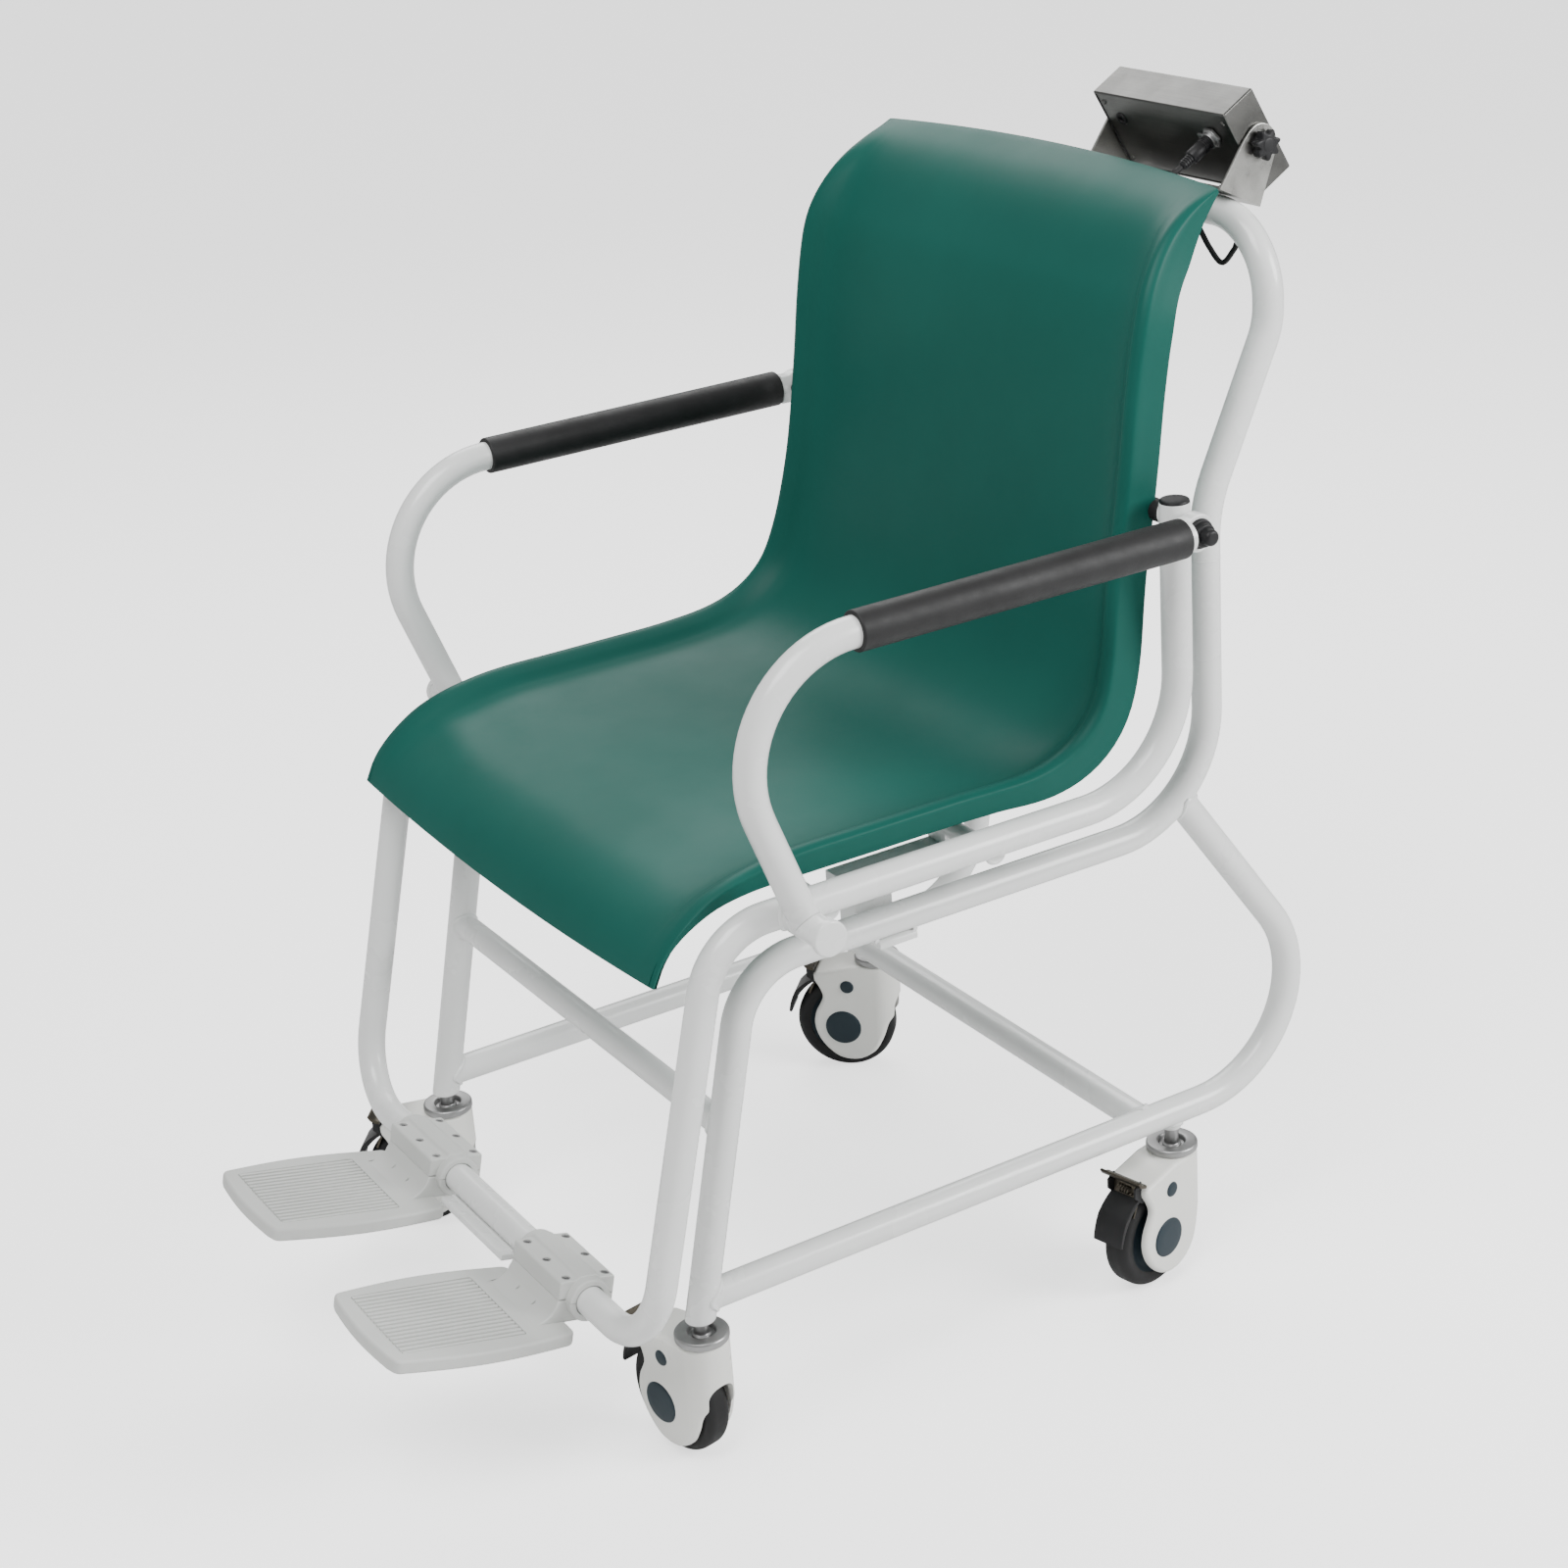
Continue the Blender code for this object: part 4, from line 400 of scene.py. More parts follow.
def case_steel():
    tone = [0.29 * channel for channel in colours().steel]
    return finish("case_steel", tone, 0.36, metallic=1.0, tone_spread=0.09, tone_scale=14,
                  brushed=(24, 1500, 1500), depth=0.000015, dust=0.02)


def zinc_steel():
    return finish("zinc_steel", colours().zinc, 0.42, metallic=1.0, tone_spread=0.08,
                  tone_scale=40, rough_spread=0.05, grain=(900, 150, 0.5), depth=0.000004,
                  dust=0.02)


def pedal_steel():
    return finish("pedal_steel", (0.075, 0.066, 0.052), 0.36, metallic=1.0, tone_spread=0.2,
                  tone_scale=45, rough_spread=0.08, grain=(700, 160, 0.5), depth=0.000008)


# Pale, non-metallic grey with brush lines for the load cells: painted light that lifts the shade
# they sit in under the seat
def aluminium():
    return finish("aluminium", colours().aluminium, 0.5, tone_spread=0.04,
                  brushed=(1400, 30, 1400), depth=0.000004, dust=0.02)


def window_glass():
    return finish("window_glass", colours().screen, 0.10, tone_spread=0.05, rough_spread=0.03,
                  depth=0.000004, dust=0.0, coat=0.6)


# Mesh tools. Pieces are drawn in millimetres and placed in metres when they are finished.

def new_object(name, bm):
    mesh = bpy.data.meshes.new(name)
    bm.to_mesh(mesh)
    bm.free()
    obj = bpy.data.objects.new(name, mesh)
    bpy.context.scene.collection.objects.link(obj)
    return obj


def joined(bm, other):
    """Adds a bmesh to another and frees it."""
    mesh = bpy.data.meshes.new("part")
    other.to_mesh(mesh)
    other.free()
    bm.from_mesh(mesh)
    bpy.data.meshes.remove(mesh)


def finished(name, bm, material, body, replaced=(), smooth=35, weighted=False,
             recalculated=True):
    """Turns a bmesh in millimetres into a piece in metres that rides on a body."""
    bmesh.ops.remove_doubles(bm, verts=bm.verts, dist=0.002)
    if recalculated:
        bmesh.ops.recalc_face_normals(bm, faces=bm.faces)
    bmesh.ops.translate(bm, vec=DRAWING_ZERO, verts=bm.verts)
    bmesh.ops.scale(bm, vec=(MM, MM, MM), verts=bm.verts)
    obj = new_object(name, bm)
    mesh = obj.data
    mesh.materials.append(material)
    mesh.shade_smooth()
    mesh.set_sharp_from_angle(angle=math.radians(smooth))
    if weighted:
        even = obj.modifiers.new("even shading", "WEIGHTED_NORMAL")
        even.keep_sharp = True
    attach(obj, body)
    if replaced:
        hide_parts(*replaced)
    return obj


def bent(corners, radii, step=5):
    """Points along straight runs whose inner corners are rounded."""
    corners = [Vector(c) for c in corners]
    points = [corners[0]]
    for before, corner, after, radius in zip(corners, corners[1:], corners[2:], radii):
        back = (before - corner).normalized()
        ahead = (after - corner).normalized()
        turn = math.pi - back.angle(ahead)
        centre = corner + (back + ahead).normalized() * radius / math.cos(turn / 2)
        start = corner + back * radius * math.tan(turn / 2) - centre
        axis = (-back).cross(ahead).normalized()
        count = max(2, math.ceil(math.degrees(turn) / step))
        for k in range(count + 1):
            points.append(centre + Matrix.Rotation(turn * k / count, 3, axis) @ start)
    points.append(corners[-1])
    return points


def smooth_line(points, count):
    """Evenly spaced points on the curve that passes smoothly through the given points."""
    points = [Vector(p) for p in points]
    ends = [2 * points[0] - points[1]] + points + [2 * points[-1] - points[-2]]
    dense = []
    fine = 24
    for a, b, c, d in zip(ends, ends[1:], ends[2:], ends[3:]):
        for k in range(fine):
            t = k / fine
            dense.append(0.5 * (2 * b + (c - a) * t + (2 * a - 5 * b + 4 * c - d) * t ** 2
                                + (3 * b - a - 3 * c + d) * t ** 3))
    dense.append(points[-1])
    gone = [0]
    for a, b in zip(dense, dense[1:]):
        gone.append(gone[-1] + (b - a).length)
    out = []
    i = 0
    for k in range(count):
        want = gone[-1] * k / (count - 1)
        while i < len(gone) - 2 and gone[i + 1] < want:
            i += 1
        out.append(dense[i].lerp(dense[i + 1], (want - gone[i]) / (gone[i + 1] - gone[i])))
    return out


def facing(tangent, up):
    """A turn whose Z lies along the tangent and whose X lies as near to up as it can."""
    z = tangent.normalized()
    x = (up - up.dot(z) * z).normalized()
    return Matrix((x, z.cross(x), z)).transposed()


def edges_at(verts):
    """The edges at some points, each once and in the same order at each run."""
    return list(dict.fromkeys(e for v in verts for e in v.link_edges))


def sweep(bm, points, radius, sides=None, up=None, closed=False, capped=True):
    """A round bar along the points, made by extruding a ring. Returns its two end rings."""
    points = [Vector(p) for p in points]
    sides = sides or sizes().tube_sides
    count = len(points)
    tangents = []
    for i in range(count):
        before = points[i - 1] if i or closed else points[0]
        after = points[(i + 1) % count] if i < count - 1 or closed else points[-1]
        tangents.append((after - before).normalized())
    if up is None:
        side = tangents[0].orthogonal()
        turns = [facing(tangents[0], side)]
        for a, b in zip(tangents, tangents[1:]):
            turns.append(a.rotation_difference(b).to_matrix() @ turns[-1])
    else:
        turns = [facing(t, Vector(up)) for t in tangents]
    places = [Matrix.Translation(p) @ t.to_4x4() for p, t in zip(points, turns)]
    if closed:
        places.append(places[0])
    ring = bmesh.ops.create_circle(bm, cap_ends=False, segments=sides, radius=radius,
                                   matrix=places[0])["verts"]
    first = list(ring)
    edges = edges_at(ring)
    for before, now in zip(places, places[1:]):
        grown = bmesh.ops.extrude_edge_only(bm, edges=edges)["geom"]
        ring = [g for g in grown if isinstance(g, bmesh.types.BMVert)]
        edges = [g for g in grown if isinstance(g, bmesh.types.BMEdge)
                 and g.verts[0] in ring and g.verts[1] in ring]
        bmesh.ops.transform(bm, matrix=now @ before.inverted(), verts=ring)
    if closed:
        bmesh.ops.remove_doubles(bm, verts=first + ring, dist=0.001)
    elif capped:
        cap(bm, first)
        cap(bm, ring)
    return first, ring


def cap(bm, ring):
    """Closes an end ring with a face."""
    edges = [e for e in edges_at(ring) if e.verts[0] in ring and e.verts[1] in ring]
    return bmesh.ops.edgeloop_fill(bm, edges=edges)["faces"]


def to_plane(ring, along, point, normal):
    """Slides ring points along a line on to a plane."""
    along, normal = Vector(along), Vector(normal)
    for v in ring:
        v.co += along * ((Vector(point) - v.co).dot(normal) / along.dot(normal))


def to_tube(ring, along, point, axis, radius):
    """Slides ring points along a line on to a tube's surface, on the side they come from."""
    along, axis = Vector(along).normalized(), Vector(axis).normalized()
    flat = along - along.dot(axis) * axis
    for v in ring:
        off = v.co - Vector(point)
        off = off - off.dot(axis) * axis
        a, b, c = flat.dot(flat), off.dot(flat), off.dot(off) - radius ** 2
        rest = b * b - a * c
        t = (-b - math.sqrt(rest)) / a if rest > 0 else -b / a
        v.co += along * t


def weld(bm, ring, axis):
    """A bead along the line where a tube's end meets another piece."""
    bead = sizes().weld / MM / 2
    sweep(bm, [v.co.copy() for v in ordered(ring)], bead, 8, up=axis, closed=True)


def ordered(ring):
    """Ring points in order round the ring."""
    left = set(ring)
    out = [ring[0]]
    left.discard(ring[0])
    while left:
        for e in out[-1].link_edges:
            other = e.other_vert(out[-1])
            if other in left:
                out.append(other)
                left.discard(other)
                break
        else:
            break
    return out


def joint(bm, ring, way, back, onto):
    """Draws an open end back, fits it to another tube with a weld bead, and closes it inside."""
    way = Vector(way)
    bmesh.ops.translate(bm, verts=ring, vec=-way * back)
    to_tube(ring, way, *onto)
    weld(bm, ring, way)
    bmesh.ops.translate(bm, verts=ring, vec=way * END_SUNK)
    cap(bm, ring)


def run(bm, a, b, radius, onto_a=None, onto_b=None, sides=None):
    """A straight tube whose ends may be shaped to other tubes, each with its weld bead."""
    a, b = Vector(a), Vector(b)
    along = (b - a).normalized()
    first, last = sweep(bm, [a, b], radius, sides, capped=False)
    for ring, onto, way in ((first, onto_a, -along), (last, onto_b, along)):
        if onto:
            joint(bm, ring, way, onto[2] * RUN_BACK_SHARE, onto)
        else:
            cap(bm, ring)


def block(bm, low, high, edge=1.0, segments=3, matrix=None):
    """A box with rounded edges."""
    low, high = Vector(low), Vector(high)
    verts = bmesh.ops.create_cube(bm, size=1)["verts"]
    bmesh.ops.scale(bm, vec=high - low, verts=verts)
    bmesh.ops.translate(bm, vec=(low + high) / 2, verts=verts)
    if edge:
        made = bmesh.ops.bevel(bm, geom=edges_at(verts), offset=edge, segments=segments,
                               profile=0.5, affect="EDGES", material=-1)
        rounded = [v for f in made["faces"] for v in f.verts]
        verts = list(dict.fromkeys(rounded + [v for v in verts if v.is_valid]))
    if matrix is not None:
        bmesh.ops.transform(bm, matrix=matrix, verts=verts)


def filleted(points, radii, count=5):
    """A line of (a, b) points with its corners rounded by the given radii."""
    out = []
    for i, (point, radius) in enumerate(zip(points, radii)):
        point = Vector((*point, 0))
        if not radius or i in (0, len(points) - 1):
            out.append(point.xy)
            continue
        back = Vector((*points[i - 1], 0)) - point
        ahead = Vector((*points[i + 1], 0)) - point
        reach = min(radius, back.length * 0.49, ahead.length * 0.49)
        a, b = point + back.normalized() * reach, point + ahead.normalized() * reach
        for k in range(count + 1):
            t = k / count
            out.append(((1 - t) ** 2 * a + 2 * t * (1 - t) * point + t * t * b).xy)
    return out


def lathe(bm, profile, matrix=None, steps=48, closed=False):
    """A profile of (radius, height) pairs spun round Z, then placed."""
    verts = [bm.verts.new((r, 0, z)) for r, z in profile]
    edges = [bm.edges.new(pair) for pair in zip(verts, verts[1:])]
    if closed:
        edges.append(bm.edges.new((verts[-1], verts[0])))
    bmesh.ops.spin(bm, geom=verts + edges, axis=(0, 0, 1), cent=(0, 0, 0),
                   dvec=(0, 0, 0), angle=math.tau, steps=steps, use_merge=True)
    whole = set(verts)
    grow = list(verts)
    while grow:
        v = grow.pop()
        for e in v.link_edges:
            other = e.other_vert(v)
            if other not in whole:
                whole.add(other)
                grow.append(other)
    if matrix is not None:
        bmesh.ops.transform(bm, matrix=matrix, verts=list(whole))


def prism(bm, outline, low, high, edge=0.0, segments=3, matrix=None):
    """A flat outline in XY raised from low to high, with its rims rounded."""
    before = set(bm.verts)
    face = bm.faces.new([bm.verts.new((x, y, low)) for x, y in outline])
    made = bmesh.ops.extrude_face_region(bm, geom=[face], use_keep_orig=True)["geom"]
    top = [g for g in made if isinstance(g, bmesh.types.BMVert)]
    bmesh.ops.translate(bm, vec=(0, 0, high - low), verts=top)
    if edge:
        new = [v for v in bm.verts if v not in before]
        rims = [e for e in edges_at(new) if abs(e.verts[0].co.z - e.verts[1].co.z) < LEVEL]
        bmesh.ops.bevel(bm, geom=rims, offset=edge, segments=segments, profile=0.5,
                        affect="EDGES", material=-1)
    new = [v for v in bm.verts if v not in before]
    if matrix is not None:
        bmesh.ops.transform(bm, matrix=matrix, verts=new)
    return new


def arc(centre, radius, start, end, count):
    """Points on an arc between two angles in degrees, both ends included."""
    out = []
    for k in range(count + 1):
        a = math.radians(start + (end - start) * k / count)
        out.append((centre[0] + radius * math.cos(a), centre[1] + radius * math.sin(a)))
    return out


def carved(solid, *cutters):
    """A bmesh with other bmeshes cut out of it, as a new bmesh."""
    objects = []
    for bm in (solid, *cutters):
        bmesh.ops.recalc_face_normals(bm, faces=bm.faces)
        objects.append(new_object("carving", bm))
    for cutter in objects[1:]:
        step = objects[0].modifiers.new("cut", "BOOLEAN")
        step.operation = "DIFFERENCE"
        step.solver = "EXACT"
        step.object = cutter
    bpy.context.view_layer.update()
    graph = bpy.context.evaluated_depsgraph_get()
    out = bmesh.new()
    out.from_mesh(objects[0].evaluated_get(graph).to_mesh())
    for obj in objects:
        mesh = obj.data
        bpy.data.objects.remove(obj)
        bpy.data.meshes.remove(mesh)
    return out


# Stand an outline in XY up: X to Y and Y to Z, or X kept and Y to Z
SIDEWAYS = Matrix(((0, 0, 1, 0), (1, 0, 0, 0), (0, 1, 0, 0), (0, 0, 0, 1)))
STANDING = Matrix(((1, 0, 0, 0), (0, 0, -1, 0), (0, 1, 0, 0), (0, 0, 0, 1)))


def turn(degrees, axis):
    return Matrix.Rotation(math.radians(degrees), 4, axis)


def move(x, y, z):
    return Matrix.Translation((x, y, z))


# Routes of the tubes

def base_leg_y(z):
    return BASE_LEG_Y + (z - LEG_BOTTOM_Z) * math.tan(BASE_LEG_LEAN)


def seat_leg_y(z):
    return FOOT_BAR.y + (z - FOOT_BAR.z) * math.tan(SEAT_LEG_LEAN)


def base_side_line(side):
    x = side * BASE_X
    low = LEG_BOTTOM_Z - 12
    return bent([(x, base_leg_y(low), low), (x, base_leg_y(BASE_RAIL_Z), BASE_RAIL_Z),
                 (x, UPRIGHT_Y, BASE_RAIL_Z), (x, UPRIGHT_Y, UPRIGHT_TOP_Z)],
                [FRONT_BEND_R, REAR_BEND_R])


def rear_loop_line(side):
    x = side * BASE_X
    lean, radius, loop_y = math.radians(35.5), 98.5, 255
    centre_z = BOTTOM_RAIL_Z + radius
    corner_y = loop_y + radius * math.tan((math.pi / 2 + lean) / 2)
    start = Vector((loop_y + radius * math.cos(lean), centre_z + radius * math.sin(lean)))
    bend = Vector((UPRIGHT_Y - REAR_BEND_R, BASE_RAIL_Z + REAR_BEND_R))
    along = Vector((-math.sin(lean), math.cos(lean)))
    off = start - bend
    half = off.dot(along)
    reach = -half - math.sqrt(half ** 2 - off.length_squared + REAR_BEND_R ** 2)
    end = start + along * reach
    return bent([(x, base_leg_y(BOTTOM_RAIL_Z), BOTTOM_RAIL_Z), (x, corner_y, BOTTOM_RAIL_Z),
                 (x, end.x, end.y)], [radius]), bend, end


def seat_line(side):
    x = side * SEAT_X
    low = leg_split()
    return bent([(x, SEAT_UPRIGHT_Y, SEAT_UPRIGHT_TOP_Z), (x, SEAT_UPRIGHT_Y, SEAT_RAIL_Z),
                 (x, seat_leg_y(SEAT_RAIL_Z), SEAT_RAIL_Z), (x, seat_leg_y(low), low)],
                [REAR_BEND_R, FRONT_BEND_R])


def leg_split():
    return FOOT_BAR.z + 70 * math.cos(SEAT_LEG_LEAN)


# Operators

class Builder:
    """What the operators share."""
    bl_options = {"REGISTER", "UNDO"}

    def execute(self, context):
        self.make()
        return {"FINISHED"}


class CHAIRSCALE_OT_base(Builder, bpy.types.Operator):
    """Builds the base: side tubes, rear loops, ties and the push handle"""
    bl_idname = "chair_scale.base"
    bl_label = "Base frame"

    def make(self):
        r = sizes().tube / MM / 2
        for tag, side in SIDES.items():
            self.side_tube(tag, side, r)
            self.rear_loop(tag, side, r)
        self.ties(r)
        bm = bmesh.new()
        half = [(BASE_X, UPRIGHT_Y, UPRIGHT_TOP_Z), (BASE_X, UPRIGHT_Y, 682),
                (BASE_X, HANDLE_Y, 820), (BASE_X, HANDLE_Y, HANDLE_Z)]
        other = [(-x, y, z) for x, y, z in reversed(half)]
        sweep(bm, bent(half + other, [120, 60, HANDLE_BEND_R, HANDLE_BEND_R, 60, 120]), r)
        for side in SIDES.values():
            sweep(bm, arc3((side * BASE_X, UPRIGHT_Y, UPRIGHT_TOP_Z), r - 0.9, 40), 1.2, 6,
                  up=(0, 0, 1), closed=True)
        finished("handle_tube", bm, white_paint(), "frame", ["push_handle"])

    def side_tube(self, tag, side, r):
        bm = bmesh.new()
        line = base_side_line(side)
        first, last = sweep(bm, line, r, capped=False)
        to_plane(first, line[0] - line[1], (0, 0, LEG_BOTTOM_Z), (0, 0, 1))
        cap(bm, last)
        foot_end(bm, first)
        self.cell_bracket(bm, side)
        finished(f"side_tube_{tag}", bm, white_paint(), "frame", [f"base_side_{tag}"])

    def cell_bracket(self, bm, side):
        """The plate welded under the rail, its riser and its foot."""
        mid, low = CELL_FOOT_Y, CELL_PLATE_Z
        x0, x1 = sorted((side * (CELL_X - 12.5), side * (BASE_X + 12.5)))
        block(bm, (x0, mid - 18, low), (x1, mid + 18, low + 6), 1.2)
        x0, x1 = sorted((side * (CELL_X - 12.2), side * (CELL_X + 12.2)))
        block(bm, (x0, mid - 17.6, low + 3), (x1, mid + 17.6, 424.7), 1.0)
        lathe(bm, filleted([(0, -12), (10, -12), (10, 2), (0, 2)], [0, 1.5, 0.5, 0]),
              move(side * CELL_X, mid, low + 1), 32)
        for y in (mid - 18, mid + 18):
            sweep(bm, [(side * (BASE_X - 9), y, low + 6.5), (side * (BASE_X + 9), y, low + 6.5)],
                  2.2, 8)

    def rear_loop(self, tag, side, r):
        bm = bmesh.new()
        line, bend, end = rear_loop_line(side)
        x = side * BASE_X
        first, last = sweep(bm, line, r, capped=False)
        leg = Vector((0, math.tan(BASE_LEG_LEAN), 1)).normalized()
        foot = (x, base_leg_y(BOTTOM_RAIL_Z), BOTTOM_RAIL_Z)
        joint(bm, first, (0, -1, 0), 30, (foot, leg, r))
        along = (line[-1] - line[-2]).normalized()
        out = (end - bend).normalized()
        axis = (0, -out.y, out.x)
        joint(bm, last, along, 34, ((x, end.x, end.y), axis, r))
        boss = Vector((x, CASTOR_Y["rear"], LEG_BOTTOM_Z + 2.5))
        a, b = sweep(bm, [boss, boss + Vector((0, 0, 6))], r - 4, capped=False)
        foot_end(bm, a)
        joint(bm, b, (0, 0, 1), 4, ((x, 0, BOTTOM_RAIL_Z), (0, 1, 0), r))
        finished(f"loop_tube_{tag}", bm, white_paint(), "frame", [f"rear_loop_{tag}"])

    def ties(self, r):
        z = FRONT_TIE_Z
        lean = (0, math.tan(BASE_LEG_LEAN), 1)
        y = base_leg_y(z)
        bm = bmesh.new()
        run(bm, (-BASE_X, y, z), (BASE_X, y, z), sizes().front_tie / MM / 2,
            ((-BASE_X, y, z), lean, r), ((BASE_X, y, z), lean, r))
        finished("front_tie", bm, white_paint(), "frame", ["base_front_bar"])
        bm = bmesh.new()
        z = BOTTOM_RAIL_Z
        run(bm, (-BASE_X, REAR_TIE_Y, z), (BASE_X, REAR_TIE_Y, z), r,
            ((-BASE_X, 0, z), (0, 1, 0), r), ((BASE_X, 0, z), (0, 1, 0), r))
        finished("rear_tie", bm, white_paint(), "frame", ["base_rear_bar"])


def arc3(centre, radius, count):
    """Points of a level ring."""
    return [Vector(centre) + Vector((radius * math.cos(math.tau * k / count),
                                     radius * math.sin(math.tau * k / count), 0))
            for k in range(count)]


def foot_end(bm, ring):
    """Closes a tube's lower end with a face whose rim is rounded."""
    faces = cap(bm, ring)
    edges = list(faces[0].edges)
    bmesh.ops.bevel(bm, geom=edges, offset=1.6, segments=3, profile=0.5, affect="EDGES",
                    material=-1)


class CHAIRSCALE_OT_seat_frame(Builder, bpy.types.Operator):
    """Builds the weighed frame: side tubes, footrest bar, beams and tube plugs"""
    bl_idname = "chair_scale.seat_frame"
    bl_label = "Seat frame"

    def make(self):
        r = sizes().tube / MM / 2
        for tag, side in SIDES.items():
            self.side(tag, side, r)
            bm = bmesh.new()
            lathe(bm, filleted([(0, 3.0), (8, 2.8), (11.6, 2.2), (12.2, 0.3), (11.6, -4), (0, -4)],
                               [0, 4, 1.5, 0.5, 0.3, 0]),
                  move(side * SEAT_X, SEAT_UPRIGHT_Y, SEAT_UPRIGHT_TOP_Z), 48)
            finished(f"upright_plug_{tag}", bm, black_plastic(), "frame", [f"tube_plug_{tag}"])
            bm = bmesh.new()
            spacer = [(7.1, SPACER_X), (9, SPACER_X), (9, 256.8), (7.1, 256.8), (7.1, SPACER_X)]
            lathe(bm, filleted(spacer, [0, 1, 1, 0, 0], 4)[:-1],
                  move(0, SEAT_UPRIGHT_Y, SPACER_Z) @ turn(90 * side, "Y"), 40, closed=True)
            finished(f"back_spacer_{tag}", bm, black_rubber(), "frame")
        self.foot_bar(r)
        self.beam("beam_front", -130, False, "seat_beam_front", r)
        self.beam("beam_rear", 25, True, "seat_beam_rear", r)
        for tag in SIDES:
            # The load cells take the pale grey of painted light, which lifts the shade they sit in
            # under the seat
            frame["nodes"][f"load_cell_{tag}"].material_slots[0].material = aluminium()

    def side(self, tag, side, r):
        bm = bmesh.new()
        first, last = sweep(bm, seat_line(side), r, capped=False)
        faces = cap(bm, first)
        bmesh.ops.bevel(bm, geom=list(faces[0].edges), offset=0.8, segments=2, profile=0.5,
                        affect="EDGES", material=-1)
        cap(bm, last)
        rail = ((side * SEAT_X, 0, SEAT_RAIL_Z), (0, 1, 0), r)
        stub = [(side * SEAT_X, STUB_Y, SEAT_RAIL_Z), (side * 331, STUB_Y, SEAT_RAIL_Z)]
        run(bm, *stub, r - 0.3, rail)
        lathe(bm, filleted([(0, 4), (14.5, 4), (14.5, -1.2), (0, -1.2)], [0, 2.2, 0.8, 0], 6),
              move(side * 330, STUB_Y, SEAT_RAIL_Z) @ turn(90 * side, "Y"), 56)
        upright = ((side * SEAT_X, SEAT_UPRIGHT_Y, 0), (0, 0, 1), r)
        run(bm, (side * SEAT_X, SEAT_UPRIGHT_Y, SPACER_Z),
            (side * SPACER_X, SEAT_UPRIGHT_Y, SPACER_Z), 7, upright, sides=24)
        finished(f"seat_tube_{tag}", bm, white_paint(), "frame", [f"seat_frame_{tag}"])

    def foot_bar(self, r):
        bm = bmesh.new()
        low = leg_split()
        corners = [(SEAT_X, seat_leg_y(low), low), (SEAT_X, FOOT_BAR.y, FOOT_BAR.z),
                   (-SEAT_X, FOOT_BAR.y, FOOT_BAR.z), (-SEAT_X, seat_leg_y(low), low)]
        sweep(bm, bent(corners, [62, 62], 4), r)
        lean = Matrix.Translation(FOOT_BAR) @ Matrix.Rotation(-PLATE_TILT, 4, "X")
        block(bm, (-58, -23, -15), (58, 0, -9), 1.2, matrix=lean)
        sweep(bm, [lean @ Vector((-57, -12, -9.2)), lean @ Vector((57, -12, -9.2))], 1.8, 8)
        finished("foot_tube", bm, white_paint(), "frame", ["footrest_bar"])

    def beam(self, name, y, with_cells, node, r):
        z, top, b = 462, 487.7, sizes().beam / MM / 2
        bm = bmesh.new()
        ends = [((side * SEAT_X, 0, SEAT_RAIL_Z), (0, 1, 0), r) for side in (-1, 1)]
        run(bm, (-SEAT_X, y, z), (SEAT_X, y, z), b, *ends, sides=28)
        for side in SIDES.values():
            x = side * 120
            lathe(bm, filleted([(0, top - z), (9, top - z), (9, 0), (0, 0)], [0, 1, 0, 0]),
                  move(x, y, z), 32)
            sweep(bm, [Vector((x + 9.4 * math.cos(a), y + 9.4 * math.sin(a),
                               z + math.sqrt(max(b * b - (9.0 * math.sin(a)) ** 2, 4))))
                       for a in (math.tau * k / 32 for k in range(32))], 1.6, 6,
                  up=(0, 0, 1), closed=True)
            if with_cells:
                x = side * CELL_X
                block(bm, (x - 12.5, y - 8.3, 450.3), (x + 12.5, y + 8.3, z), 0.6)
        finished(name, bm, white_paint(), "frame", [node])


SHELL_RIM = [(-281, 438), (-271, 457), (-254, 475), (-229, 492), (-203, 502), (-174, 508),
             (-140, 511), (-85, 511), (-22, 511), (34, 511), (71, 513), (99, 520), (122, 533),
             (139, 552), (151, 583), (160, 623), (172, 688), (180, 739), (187, 790), (195, 834),
             (204, 865), (218, 889), (237, 909), (261, 924), (289, 935)]
SHELL_HALF_W = 248
SHELL_SEAT_SPREAD = 10
SHELL_BEND_SPREAD = 5
SHELL_TIP_INSET = 19
SHELL_DISH = 21
SHELL_FLANK_SEAT = 21
SHELL_FLANK_BACK = 32
SHELL_LIP_CROWN = 8
# Across half the shell: share of its half width, share of the dish, share of the flank
SHELL_ACROSS = [(0, 1, 0), (0.35, 1, 0), (0.66, 0.98, 0), (0.81, 0.88, 0), (0.88, 0.62, 0),
                (0.925, 0.26, 0), (0.952, 0.07, 0), (0.968, 0, 0), (0.98, 0, 0.02),
                (0.992, 0, 0.09), (1, 0, 0.2), (1, 0, 0.55), (1, 0, 1)]


